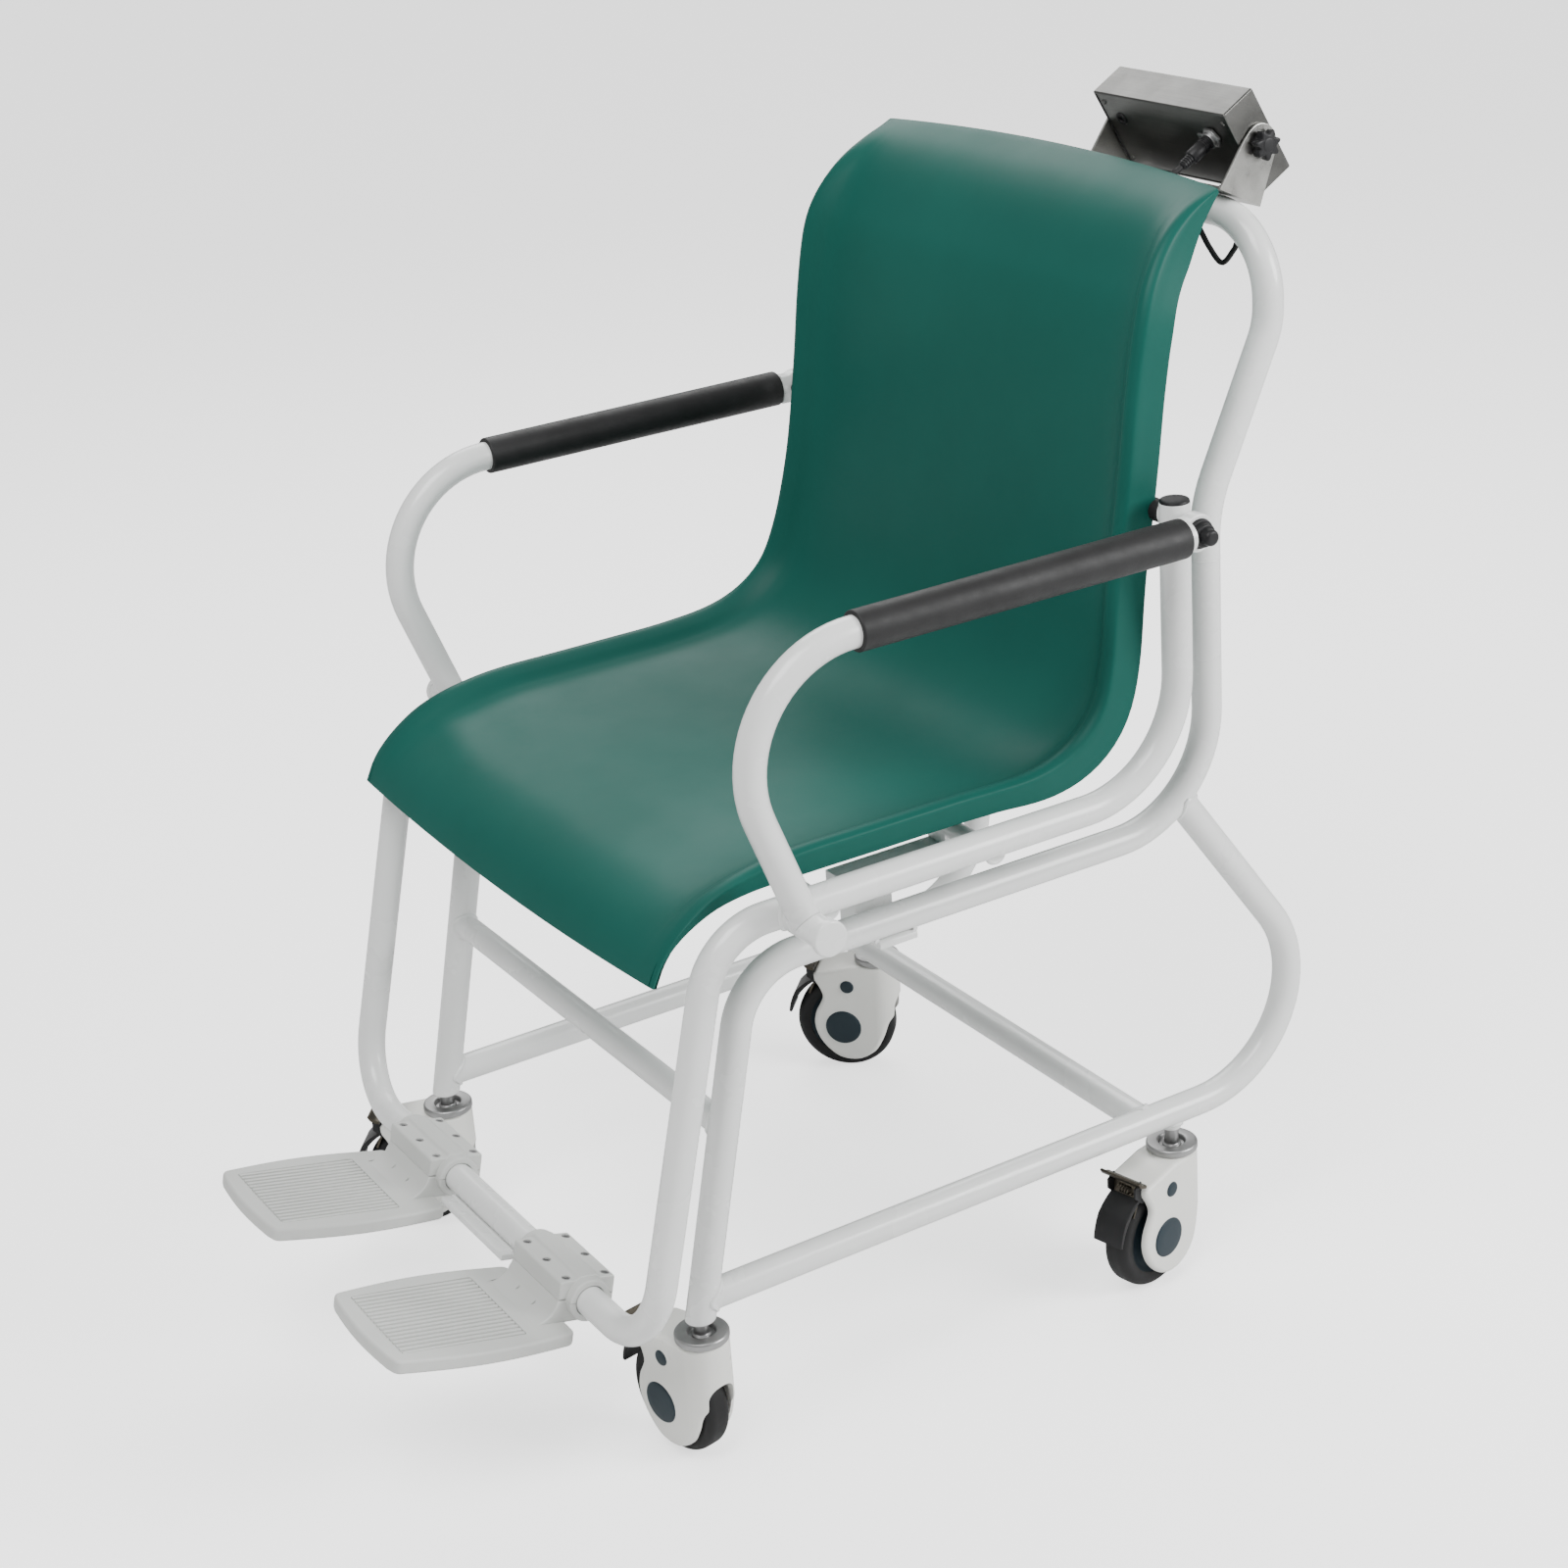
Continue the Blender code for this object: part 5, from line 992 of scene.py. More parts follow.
class CHAIRSCALE_OT_shell(Builder, bpy.types.Operator):
    """Builds the moulded seat"""
    bl_idname = "chair_scale.shell"
    bl_label = "Seat shell"

    def make(self):
        rows, fine = 120, 7
        rim = smooth_line([(0, y, z) for y, z in SHELL_RIM], rows)
        across = smooth_line(SHELL_ACROSS, (len(SHELL_ACROSS) - 1) * fine + 1)
        half = len(across) - 1
        bm = bmesh.new()
        bmesh.ops.create_grid(bm, x_segments=2 * half, y_segments=rows - 1, size=1)
        for vert in bm.verts:
            column = round((vert.co.x + 1) * half) - half
            row = round((vert.co.y + 1) / 2 * (rows - 1))
            vert.co = self.point(rim, row, across[abs(column)], -1 if column < 0 else 1)
        shell = finished("moulded_seat", bm, green_shell(), "frame", ["seat_shell"],
                         smooth=60, recalculated=False)
        wall = shell.modifiers.new("wall", "SOLIDIFY")
        wall.thickness = sizes().shell_wall
        wall.offset = -1
        wall.use_even_offset = False
        round_off = shell.modifiers.new("rim", "BEVEL")
        round_off.limit_method = "ANGLE"
        round_off.angle_limit = math.radians(60)
        round_off.width = 0.0016
        round_off.segments = 3

    def point(self, rim, row, across, side):
        share = row / (len(rim) - 1)
        before, after = rim[max(row - 1, 0)], rim[min(row + 1, len(rim) - 1)]
        along = (after - before).normalized()
        up = Vector((0, -along.z, along.y))
        width, dish, flank = across
        fade = eased(0, 0.14, share) * eased(0, 0.12, 1 - share)
        back = eased(0.38, 0.5, share)
        top_end = math.sin(min((1 - share) / 0.08, 1) * math.pi / 2)
        depth = SHELL_FLANK_SEAT * (1 - back) + SHELL_FLANK_BACK * back
        depth *= 0.12 + 0.88 * eased(0, 0.2, share) * top_end
        bend = eased(0.34, 0.44, share) * (1 - eased(0.5, 0.64, share))
        half = SHELL_HALF_W + SHELL_SEAT_SPREAD * (1 - eased(0.45, 0.66, share))
        half += SHELL_BEND_SPREAD * bend - SHELL_TIP_INSET * eased(0.84, 1, share)
        crown = sizes().shell_crown / MM * eased(0.84, 1, share)
        crown -= SHELL_LIP_CROWN * (1 - eased(0, 0.14, share))
        crown *= 1 - width ** 2
        point = rim[row] - up * (SHELL_DISH * dish * fade + depth * flank) + along * crown
        return Vector((side * half * width, point.y, point.z))


def eased(low, high, value):
    t = min(max((value - low) / (high - low), 0), 1)
    return t * t * (3 - 2 * t)


class CHAIRSCALE_OT_armrests(Builder, bpy.types.Operator):
    """Builds the armrests: tube, lug, foam grip and hinge bolt"""
    bl_idname = "chair_scale.armrests"
    bl_label = "Armrests"

    def make(self):
        r = sizes().tube / MM / 2
        for tag, side in SIDES.items():
            self.arm(tag, side, r)
            self.grip(tag, side, r)
            self.bolt(tag, side)

    def arm(self, tag, side, r):
        x = side * ARM_X
        lean = ARM_LEAN
        rise = ARM_Z - SEAT_RAIL_Z
        low = (x, STUB_Y - 5 * math.sin(lean), SEAT_RAIL_Z + 5 * math.cos(lean))
        line = bent([low, (x, STUB_Y - rise * math.tan(lean), ARM_Z), (x, ARM_END_Y, ARM_Z)],
                    [ARM_BEND_R])
        bm = bmesh.new()
        first, last = sweep(bm, line, r, capped=False)
        down = (line[0] - line[1]).normalized()
        bmesh.ops.translate(bm, verts=first, vec=-down * 26)
        to_tube(first, down, (x, STUB_Y, SEAT_RAIL_Z), (1, 0, 0), r + 0.2)
        cap(bm, first)
        cap(bm, last)
        outline = [(192.4, -13)] + arc((209, 0), 15.5, -122, 122, 36) + [(192.4, 13)]
        lug = prism(bm, outline, 0, ARM_LUG_T, 1.5, 3)
        inner = x - ARM_LUG_T if side > 0 else x
        bmesh.ops.transform(bm, verts=lug, matrix=move(inner, 0, ARM_Z) @ SIDEWAYS)
        finished(f"arm_tube_{tag}", bm, white_paint(), f"armrest_{tag}", [f"arm_{tag}"],
                 weighted=True)

    def grip(self, tag, side, r):
        outer, long = sizes().grip / MM / 2, GRIP_L
        profile = filleted([(r + 0.3, 0), (outer, 0), (outer, long), (r + 0.3, long),
                            (r + 0.3, 0)], [0, 1.8, 1.8, 0.6, 0], 5)[:-1]
        bm = bmesh.new()
        lathe(bm, profile, move(side * ARM_X, GRIP_START_Y, ARM_Z) @ turn(-90, "X"), 56, closed=True)
        finished(f"foam_grip_{tag}", bm, foam(), f"armrest_{tag}", [f"arm_grip_{tag}"])

    def bolt(self, tag, side):
        bm = bmesh.new()
        at = move(side * ARM_X, SEAT_UPRIGHT_Y, ARM_Z) @ turn(90 * side, "Y")
        lathe(bm, filleted([(0, 3.4), (11.6, 3.4), (12.4, 0.4), (0, 0.4)], [0, 1, 0.4, 0]), at, 48)
        lathe(bm, filleted([(0, 9), (9.4, 9), (9.8, 3), (0, 3)], [0, 1.6, 0, 0], 4), at, 48)
        lathe(bm, filleted([(0, 17.4), (6.4, 17.4), (7, 8.6), (0, 8.6)], [0, 5, 0, 0], 8), at, 40)
        lathe(bm, filleted([(0, -12.4), (8, -12.4), (8, -16.9), (0, -16.9)], [0, 0.6, 0.6, 0]),
              at, 32)
        lathe(bm, [(0, 0), (4, 0), (4, -33), (0, -33)], at, 24)
        finished(f"hinge_knob_{tag}", bm, black_plastic(), "frame", [f"arm_bolt_{tag}"])


class CHAIRSCALE_OT_footplates(Builder, bpy.types.Operator):
    """Builds the footplates, their clamps and screws"""
    bl_idname = "chair_scale.footplates"
    bl_label = "Footplates"

    def make(self):
        for tag, side in SIDES.items():
            at = (move(side * CLAMP_X, FOOT_BAR.y, FOOT_BAR.z)
                  @ Matrix.Rotation(-PLATE_TILT, 4, "X"))
            self.plate(tag, side, at)
            self.clamp(tag, at @ move(side * CLAMP_OUTSET, 0, 0))
            self.screws(tag, at @ move(side * CLAMP_OUTSET, 0, 0))

    def outline(self, out):
        """The plate from above: a taper with bowed sides and round corners."""
        r, toe, heel = 8, -175, -17
        toe_x, heel_x, bow = 61.5, 63, 6.5
        right = []
        for k in range(1, 12):
            t = k / 12
            right.append((toe_x + (heel_x - toe_x) * t + bow * math.sin(math.pi * t),
                          toe + r + (heel - toe - 2 * r) * t))
        points = [(toe_x * t, toe - 5 * math.cos(t * math.pi / 2))
                  for t in (-0.8, -0.6, -0.4, -0.2, 0, 0.2, 0.4, 0.6, 0.8)]
        points += arc((toe_x - r, toe + r), r, -80, 0, 6) + right
        points += arc((heel_x - r, heel - r), r, 0, 90, 6)
        points += arc((r - heel_x, heel - r), r, 90, 180, 6)
        points += [(-x, y) for x, y in reversed(right)]
        points += arc((r - toe_x, toe + r), r, 180, 260, 6)
        return [(x + out, y) for x, y in points]

    def field(self, out, rim, heel):
        """The recess in a plate's face, inside a plain rim."""
        x, toe = 64 - rim, -178 + rim
        return filleted([(out, toe), (out + x - 1, toe + 1), (out + x + 1, heel),
                         (out - x - 1, heel), (out - x + 1, toe + 1), (out, toe)],
                        [0, 3, 3, 3, 3, 0], 3)[:-1]

    def plate(self, tag, side, at):
        out = side * 5
        plate = bmesh.new()
        prism(plate, self.outline(out), -31, -19, 2.6, 4)
        field, hollow = bmesh.new(), bmesh.new()
        prism(field, self.field(out, sizes().plate_rim / MM, -56), -20.8, -10)
        prism(hollow, self.field(out, 8, -24), -40, -28.5)
        bm = carved(plate, field, hollow)
        count = sizes().rib_count
        span = 126 - 2 * (sizes().plate_rim / MM + 2)
        for k in range(count):
            x = out + span * (k / (count - 1) - 0.5)
            block(bm, (x - 1.7, -163, -21.4), (x + 1.7, -56.5, -18.8), 0.7, 2)
        solid = bmesh.new()
        prism(solid, self.block_profile(), *CLAMP_ENDS, 1.6, 3, SIDEWAYS)
        slots = []
        for x in (-14, 14):
            cutter = bmesh.new()
            block(cutter, (x - 1.1, -60, -15.5), (x + 1.1, -30.2, -1), 0.5, 2)
            slots.append(cutter)
        solid = carved(solid, self.bore(), *slots)
        for extra in (solid, self.collar(-1)):
            bmesh.ops.translate(extra, verts=extra.verts, vec=(side * CLAMP_OUTSET, 0, 0))
            joined(bm, extra)
        bmesh.ops.transform(bm, matrix=at, verts=bm.verts)
        finished(f"footplate_{tag}_moulding", bm, grey_plastic(), f"footrest_{tag}",
                 [f"footplate_{tag}"], weighted=True)

    def block_profile(self):
        """The clamp's lower half from the side, with its hollow sweep down to the plate."""
        points = [(25, -0.2), (25, -20.5), (-49, -20.5), (-48, -19.3)]
        for k in range(1, 10):
            t = k / 10
            points.append((-48 + 20.5 * math.sin(t * math.pi / 2),
                           -19.3 + 15.0 * (1 - math.cos(t * math.pi / 2))))
        return points + [(-26, -3.6), (-25, -0.2)]

    def bore(self):
        """The way of the footrest bar through the clamp."""
        bm = bmesh.new()
        lathe(bm, [(0, 60), (CLAMP_BORE_R, 60), (CLAMP_BORE_R, -60), (0, -60)], turn(90, "Y"), 48)
        return bm

    def collar(self, way):
        """Half of the ring that stands out round the tube at each end of the clamp."""
        ring = bmesh.new()
        for end in (1, -1):
            r = CLAMP_BORE_R
            profile = filleted([(r, 36), (18.5, 36), (18.5, 49), (r, 49), (r, 36)],
                               [0, 0, 2, 0.8, 0], 4)[:-1]
            lathe(ring, profile, turn(90 * end, "Y"), 56, closed=True)
        bmesh.ops.recalc_face_normals(ring, faces=ring.faces)
        cut = bmesh.ops.bisect_plane(ring, geom=ring.verts[:] + ring.edges[:] + ring.faces[:],
                                     plane_co=(0, 0, 0.2 * way), plane_no=(0, 0, -way),
                                     clear_outer=True)
        edges = [g for g in cut["geom_cut"] if isinstance(g, bmesh.types.BMEdge)]
        bmesh.ops.holes_fill(ring, edges=edges, sides=0)
        return ring

    def clamp(self, tag, at):
        profile = filleted([(-25, 0.2), (-25, 16.0), (-9.5, 16.4), (-7, 19), (8, 19),
                            (11, 16.2), (25, 15.6), (25, 0.2)],
                           [0, 2.5, 1.5, 2, 2, 1.5, 2.5, 0], 4)
        solid = bmesh.new()
        prism(solid, profile, *CLAMP_ENDS, 1.4, 3, SIDEWAYS)
        wells = []
        for x, y in self.screw_places():
            well = bmesh.new()
            lathe(well, [(0, 30), (3.7, 30), (3.7, 13.4), (0, 13.4)], move(x, y, 0), 24)
            wells.append(well)
        solid = carved(solid, self.bore(), *wells)
        joined(solid, self.collar(1))
        bmesh.ops.transform(solid, matrix=at, verts=solid.verts)
        finished(f"clamp_cap_{tag}", solid, grey_plastic(), f"footrest_{tag}",
                 [f"footplate_clamp_{tag}"], weighted=True)

    def screw_places(self):
        return [(x, y) for y in (-16.5, 19) for x in (-34, 0, 34)]

    def screws(self, tag, at):
        bm = bmesh.new()
        for x, y in self.screw_places():
            head = filleted([(0, 14.2), (1.7, 14.2), (1.7, 15.7), (3.3, 15.7), (3.3, 12.6),
                             (0, 12.6)], [0, 0.2, 0.3, 0.8, 0, 0], 3)
            lathe(bm, head, at @ move(x, y, 0), 18)
        finished(f"clamp_screws_{tag}", bm, zinc_steel(), f"footrest_{tag}")


class CHAIRSCALE_OT_castors(Builder, bpy.types.Operator):
    """Builds the four castors: stem, shroud, wheel, caps and brake"""
    bl_idname = "chair_scale.castors"
    bl_label = "Castors"

    def make(self):
        for tag, degrees in CASTOR_TURNS.items():
            end, side = tag.split("_")
            at = move(SIDES[side] * BASE_X, CASTOR_Y[end], 0) @ turn(degrees, "Z")
            self.stem(tag, at)
            self.shroud(tag, at)
            self.wheel(tag, at)
            self.caps(tag, at)
            self.brake(tag, at)

    def stem(self, tag, at):
        bm = bmesh.new()
        ring = filleted([(0, 107.2), (21.6, 107.2), (22.6, 108), (22.6, 112.6), (21.4, 114),
                         (12, 114), (11, 109.6), (0, 109.6)],
                        [0, 0.4, 0.6, 1.4, 0.8, 1.6, 0.4, 0], 5)
        lathe(bm, ring, at, 64)
        lathe(bm, [(0, 107), (5.8, 107), (5.8, 88), (0, 88)], at, 24)
        lathe(bm, filleted([(0, 138), (6.2, 138), (6.2, 112), (8.2, 111), (8.2, 109), (0, 109)],
                           [0, 0, 1, 0.6, 0, 0], 4), at, 36)
        finished(f"castor_ring_{tag}", bm, zinc_steel(), "frame", [f"castor_stem_{tag}"])

    def side_view(self):
        """The shroud from the side, as (trail, height) pairs."""
        front = smooth_line([(-22, 60, 0), (-19, 52, 0), (-12, 43, 0), (-6, 27, 0), (3, 12, 0),
                             (19, 2.6, 0), (37, 3.4, 0), (50, 12, 0), (60, 26, 0),
                             (64, 41, 0), (62, 54, 0), (57.5, 63, 0), (54, 72, 0),
                             (57, 82, 0), (61.5, 90, 0), (62, 97, 0)], 56)
        return [(-22, 84)] + [(p.x, p.y) for p in front] + [(58, 99.5), (40, 103.2), (22, 107),
                                                             (0, 107), (-22, 107)]

    def shroud(self, tag, at):
        bm = bmesh.new()
        prism(bm, self.side_view(), -SHROUD_HALF_W, SHROUD_HALF_W, 4.4, 5, STANDING)
        for u in (-21.6, -20.5, -18.5, -16, -13, -9, -5, 0):
            bmesh.ops.bisect_plane(bm, geom=bm.verts[:] + bm.edges[:] + bm.faces[:],
                                   plane_co=(u, 0, 0), plane_no=(1, 0, 0))
        for v in bm.verts:
            if v.co.x < 0:
                v.co.y *= math.sqrt(max(1 - (v.co.x / SHROUD_HALF_W) ** 2, 0.004))
        bmesh.ops.remove_doubles(bm, verts=bm.verts, dist=0.01)
        bmesh.ops.recalc_face_normals(bm, faces=bm.faces)
        room = bmesh.new()
        lathe(room, [(0, 15), (44, 15), (48.5, 13), (51.4, 9), (51.4, -9), (48.5, -13), (44, -15),
                     (0, -15)], move(*AXLE) @ turn(90, "X"), 72)
        arch = bmesh.new()
        half = 13
        tunnel = [(-half, -20), (half, -20)] + arc((0, 71 - half), half, 0, 180, 20)
        prism(arch, tunnel, -50, AXLE.x, 0, 1, SIDEWAYS)
        rear = bmesh.new()
        block(rear, (AXLE.x, -16, -20), (120, 16, 89), 0)
        solid = carved(bm, room, arch, rear)
        bmesh.ops.transform(solid, matrix=at, verts=solid.verts)
        finished(f"castor_shroud_{tag}", solid, cream_plastic(), f"castor_{tag}",
                 [f"castor_fork_{tag}"], smooth=40, weighted=True)

    def wheel(self, tag, at):
        hub = at @ move(*AXLE) @ turn(90, "X")
        bm = bmesh.new()
        tyre = filleted([(36, 11.4), (44, 12.5), (49.5, 8), (49.57, 0), (49.5, -8), (44, -12.5),
                         (36, -11.4), (36, 11.4)], [0, 3, 5, 6, 5, 3, 0, 0], 6)[:-1]
        lathe(bm, tyre, hub, 96, closed=True)
        finished(f"castor_tyre_{tag}", bm, black_rubber(), f"wheel_{tag}", [f"castor_wheel_{tag}"])
        bm = bmesh.new()
        core = filleted([(4.4, 12.3), (12, 12.3), (14, 9), (32, 8.4), (36.2, 10.6), (36.2, -10.6),
                         (32, -8.4), (14, -9), (12, -12.3), (4.4, -12.3), (4.4, 12.3)],
                        [0, 1, 2, 2, 0.5, 0.5, 2, 2, 1, 0, 0], 4)[:-1]
        lathe(bm, core, hub, 64, closed=True)
        finished(f"castor_core_{tag}", bm, blue_grey_plastic(), f"wheel_{tag}")

    def caps(self, tag, at):
        bm = bmesh.new()
        for way in (1, -1):
            hub = at @ move(*AXLE) @ turn(-90 * way, "X")
            lathe(bm, filleted([(0, 24.0), (11, 23.9), (17.2, 23.2), (18.5, 21.6), (0, 21.6)],
                               [0, 6, 2.5, 0.6, 0], 5), hub, 64)
        lathe(bm, [(0, 21.8), (4, 21.8), (4, -21.8), (0, -21.8)],
              at @ move(*AXLE) @ turn(90, "X"), 24)
        finished(f"castor_caps_{tag}", bm, blue_grey_plastic(), f"castor_{tag}",
                 [f"castor_axle_{tag}"])
        bm = bmesh.new()
        for way in (1, -1):
            pin = at @ move(*BRAKE_PIN) @ turn(-90 * way, "X")
            lathe(bm, filleted([(0, 23.6), (4.4, 23.5), (6.6, 22.9), (7, 21.8), (0, 21.8)],
                               [0, 2.5, 1, 0.4, 0], 4), pin, 40)
        finished(f"pedal_caps_{tag}", bm, blue_grey_plastic(), f"brake_{tag}")

    def brake(self, tag, at):
        """The pedal: two arms on the pin, a shoe over the tyre, a foot pad and a spring."""
        bm = bmesh.new()
        arm = arc((BRAKE_PIN.x, BRAKE_PIN.z), 5.4, 90, 270, 10)
        arm += [(50, 82), (61.5, 84), (70, 92), (70, 101), (61.2, 105.5), (60.9, 88.2)]
        for y in (-15.6, 13.6):
            prism(bm, arm, y, y + 2, 0.4, 2, at @ STANDING)
        shoe = []
        for k in range(13):
            a = math.radians(12 + 46 * k / 12)
            shoe.append((AXLE.x + 55.2 * math.cos(a), AXLE.z + 55.2 * math.sin(a)))
        for k in range(13):
            a = math.radians(58 - 46 * k / 12)
            reach = 60.5 - 2.5 * abs(k - 6) / 6
            shoe.append((AXLE.x + reach * math.cos(a), AXLE.z + reach * math.sin(a)))
        prism(bm, shoe, -15.5, 15.5, 1.0, 3, at @ STANDING)
        lathe(bm, [(0, 21.9), (2.9, 21.9), (2.9, -21.9), (0, -21.9)],
              at @ move(*BRAKE_PIN) @ turn(90, "X"), 20)
        finished(f"pedal_shoe_{tag}", bm, black_plastic(), f"brake_{tag}",
                 [f"castor_brake_{tag}"], weighted=True)
        bm = bmesh.new()
        pad = filleted([(61.3, 104.4), (66, 106.2), (70.6, 110.4), (72.4, 109.2), (69.4, 103.8),
                        (61.3, 101.4)], [0, 4, 1.2, 1.2, 4, 0], 5)
        prism(bm, pad, -21.5, 21.5, 0.6, 2, at @ STANDING)
        plate = [(61.3, 104.2), (63.4, 104.2), (64.8, 84), (70.2, 72), (68.2, 71), (62.6, 83.4)]
        prism(bm, plate, -12.8, 12.8, 0.4, 2, at @ STANDING)
        coil = []
        for k in range(60):
            a = math.tau * k / 12
            coil.append(at @ Vector((63.6 + 3.4 * math.cos(a), -7 + 14 * k / 59,
                                     94 + 3.4 * math.sin(a))))
        sweep(bm, coil, 0.9, 8)
        finished(f"pedal_plate_{tag}", bm, pedal_steel(), f"brake_{tag}", weighted=True)


class CHAIRSCALE_OT_indicator(Builder, bpy.types.Operator):
    """Builds the indicator: bracket, case, panel, keys, knobs, socket and plug"""
    bl_idname = "chair_scale.indicator"
    bl_label = "Indicator"

    def make(self):
        self.at = Matrix.Translation(INDICATOR) @ Matrix.Rotation(CASE_TILT, 4, "X")
        self.bracket()
        self.case()
        self.front()
        for tag, side in SIDES.items():
            self.knob(tag, side)
        self.socket()

    def bracket(self):
        at = move(INDICATOR.x, HANDLE_Y, HANDLE_Z) @ Matrix.Rotation(-BRACKET_TILT, 4, "X")
        bm = bmesh.new()
        half, low, sheet = 84.8, 12.8, 2.5
        outer = half + sheet
        block(bm, (-outer + 1.6, -24, low), (outer - 1.6, 22, low + sheet), 0.5, 2)
        outline = filleted([(-24, 0), (22, 0), (17.5, 42)], [0, 0, 0]) \
            + arc((0, 45.2), 16, 10, 170, 24) + [(-17.5, 42)]
        for side in SIDES.values():
            x = half if side > 0 else -outer
            plate = prism(bm, outline, x, x + sheet, 0.5, 2, SIDEWAYS)
            bmesh.ops.translate(bm, verts=plate, vec=(0, 0, low))
            x = side * (outer - 1.9)
            sweep(bm, [(x, -23.6, low + 1.9), (x, 21.6, low + 1.9)], 1.9, 16)
        for x in (-50, 50):
            lathe(bm, filleted([(0, 2.2), (4.6, 2.2), (5.4, 0), (0, 0)], [0, 1.6, 0.2, 0]),
                  move(x, -4, low + sheet), 28)
        bmesh.ops.transform(bm, matrix=at, verts=bm.verts)
        finished("bracket", bm, stainless(), "frame", ["indicator_bracket"],
                 weighted=True)

    def case(self):
        bm = bmesh.new()
        block(bm, (-CASE_HALF_W, -CASE_HALF_D, CASE_BOTTOM),
              (CASE_HALF_W, CASE_HALF_D, CASE_TOP + 2), 1.5, 3)
        hollow = bmesh.new()
        block(hollow, (-82, -40, -35.5), (82, -14.6, CASE_TOP), 0)
        solid = carved(bm, hollow)
        bmesh.ops.transform(solid, matrix=self.at, verts=solid.verts)
        finished("case", solid, case_steel(), "indicator", ["indicator_case"],
                 weighted=True)
        bm = bmesh.new()
        block(bm, (-81.8, -16.3, -35.3), (81.8, -14.4, CASE_TOP - 0.2), 0.4, 2)
        hole = bmesh.new()
        lathe(hole, [(0, 10), (4.6, 10), (4.6, -10), (0, -10)],
              move(PORT[0], -15.4, PORT[1]) @ turn(90, "X"), 32)
        cover = carved(bm, hole)
        for x, z in ((-76, 31), (76, 31), (-76, -28), (76, -28)):
            lathe(cover, filleted([(0, 1.0), (1.6, 1.3), (2.6, 0), (0, 0)], [0, 0.4, 0.2, 0]),
                  move(x, -16.3, z) @ turn(90, "X"), 20)
        bmesh.ops.transform(cover, matrix=self.at, verts=cover.verts)
        finished("case_cover", cover, case_steel(), "indicator", ["indicator_cover"], weighted=True)
        bm = bmesh.new()
        ring = filleted([(3.2, -1.2), (5.8, -1.2), (5.8, 1.4), (3.2, 1.4), (3.2, -1.2)],
                        [0, 0.5, 0.8, 0.5, 0], 4)[:-1]
        port = self.at @ move(PORT[0], -16.3, PORT[1]) @ turn(90, "X")
        lathe(bm, ring, port, 32, closed=True)
        lathe(bm, [(0, -1.0), (3.4, -1.0), (3.4, -2), (0, -2)], port, 24)
        finished("port_grommet", bm, black_rubber(), "indicator")

    def front(self):
        bm = bmesh.new()
        outline = filleted([(0, -31), (76, -31), (76, 31), (-76, 31), (-76, -31), (0, -31)],
                           [0, 5, 5, 5, 5, 0], 6)[:-1]
        prism(bm, outline, -18.8, -17.3, 0.3, 2, STANDING)
        cutters = []
        for x0, x1, z0, z1 in ((-48.3, 48.3, -2.3, 26.3), (-41.3, -22.7, -22.8, -11.2),
                               (-9.3, 9.3, -22.8, -11.2), (22.7, 41.3, -22.8, -11.2)):
            cutter = bmesh.new()
            block(cutter, (x0, 10, z0), (x1, 30, z1), 0)
            cutters.append(cutter)
        panel = carved(bm, *cutters)
        bmesh.ops.transform(panel, matrix=self.at, verts=panel.verts)
        finished("display_panel", panel, black_plastic(), "indicator", ["indicator_panel"],
                 weighted=True)
        bm = bmesh.new()
        block(bm, (-48, 17.3, -2), (48, 18.7, 26), 0.4, 2, self.at)
        finished("display_window", bm, window_glass(), "indicator", ["indicator_window"])
        for k, x in enumerate((-32, 0, 32)):
            bm = bmesh.new()
            block(bm, (x - 9, 15.3, -22.5), (x + 9, 20.3, -11.5), 1.4, 4, self.at)
            finished(f"key_cap_{k + 1}", bm, grey_plastic(), f"indicator_key_{k + 1}",
                     [f"indicator_key_{k + 1}"])

    def knob(self, tag, side):
        at = Matrix.Translation(INDICATOR) @ move(side * 87.6, 0, 0) @ turn(90 * side, "Y")
        bm = bmesh.new()
        star = []
        for k in range(98):
            a = math.tau * k / 98
            r = 12.6 * (1 - 0.16 * (1 - math.cos(7 * a)))
            star.append((r * math.cos(a), r * math.sin(a)))
        prism(bm, star, 1.6, 9.6, 1.3, 3, at)
        lathe(bm, filleted([(0, 1.2), (8, 1.2), (8, -0.1), (0, -0.1)], [0, 0.3, 0.2, 0]), at, 32)
        lathe(bm, filleted([(0, 10.3), (5.2, 10.0), (6.4, 9.2), (0, 9.2)], [0, 1, 0.3, 0]), at, 32)
        lathe(bm, [(0, 0), (3, 0), (3, -10), (0, -10)], at, 20)
        finished(f"star_knob_{tag}", bm, black_plastic(), f"tilt_knob_{tag}", [f"tilt_knob_{tag}"])

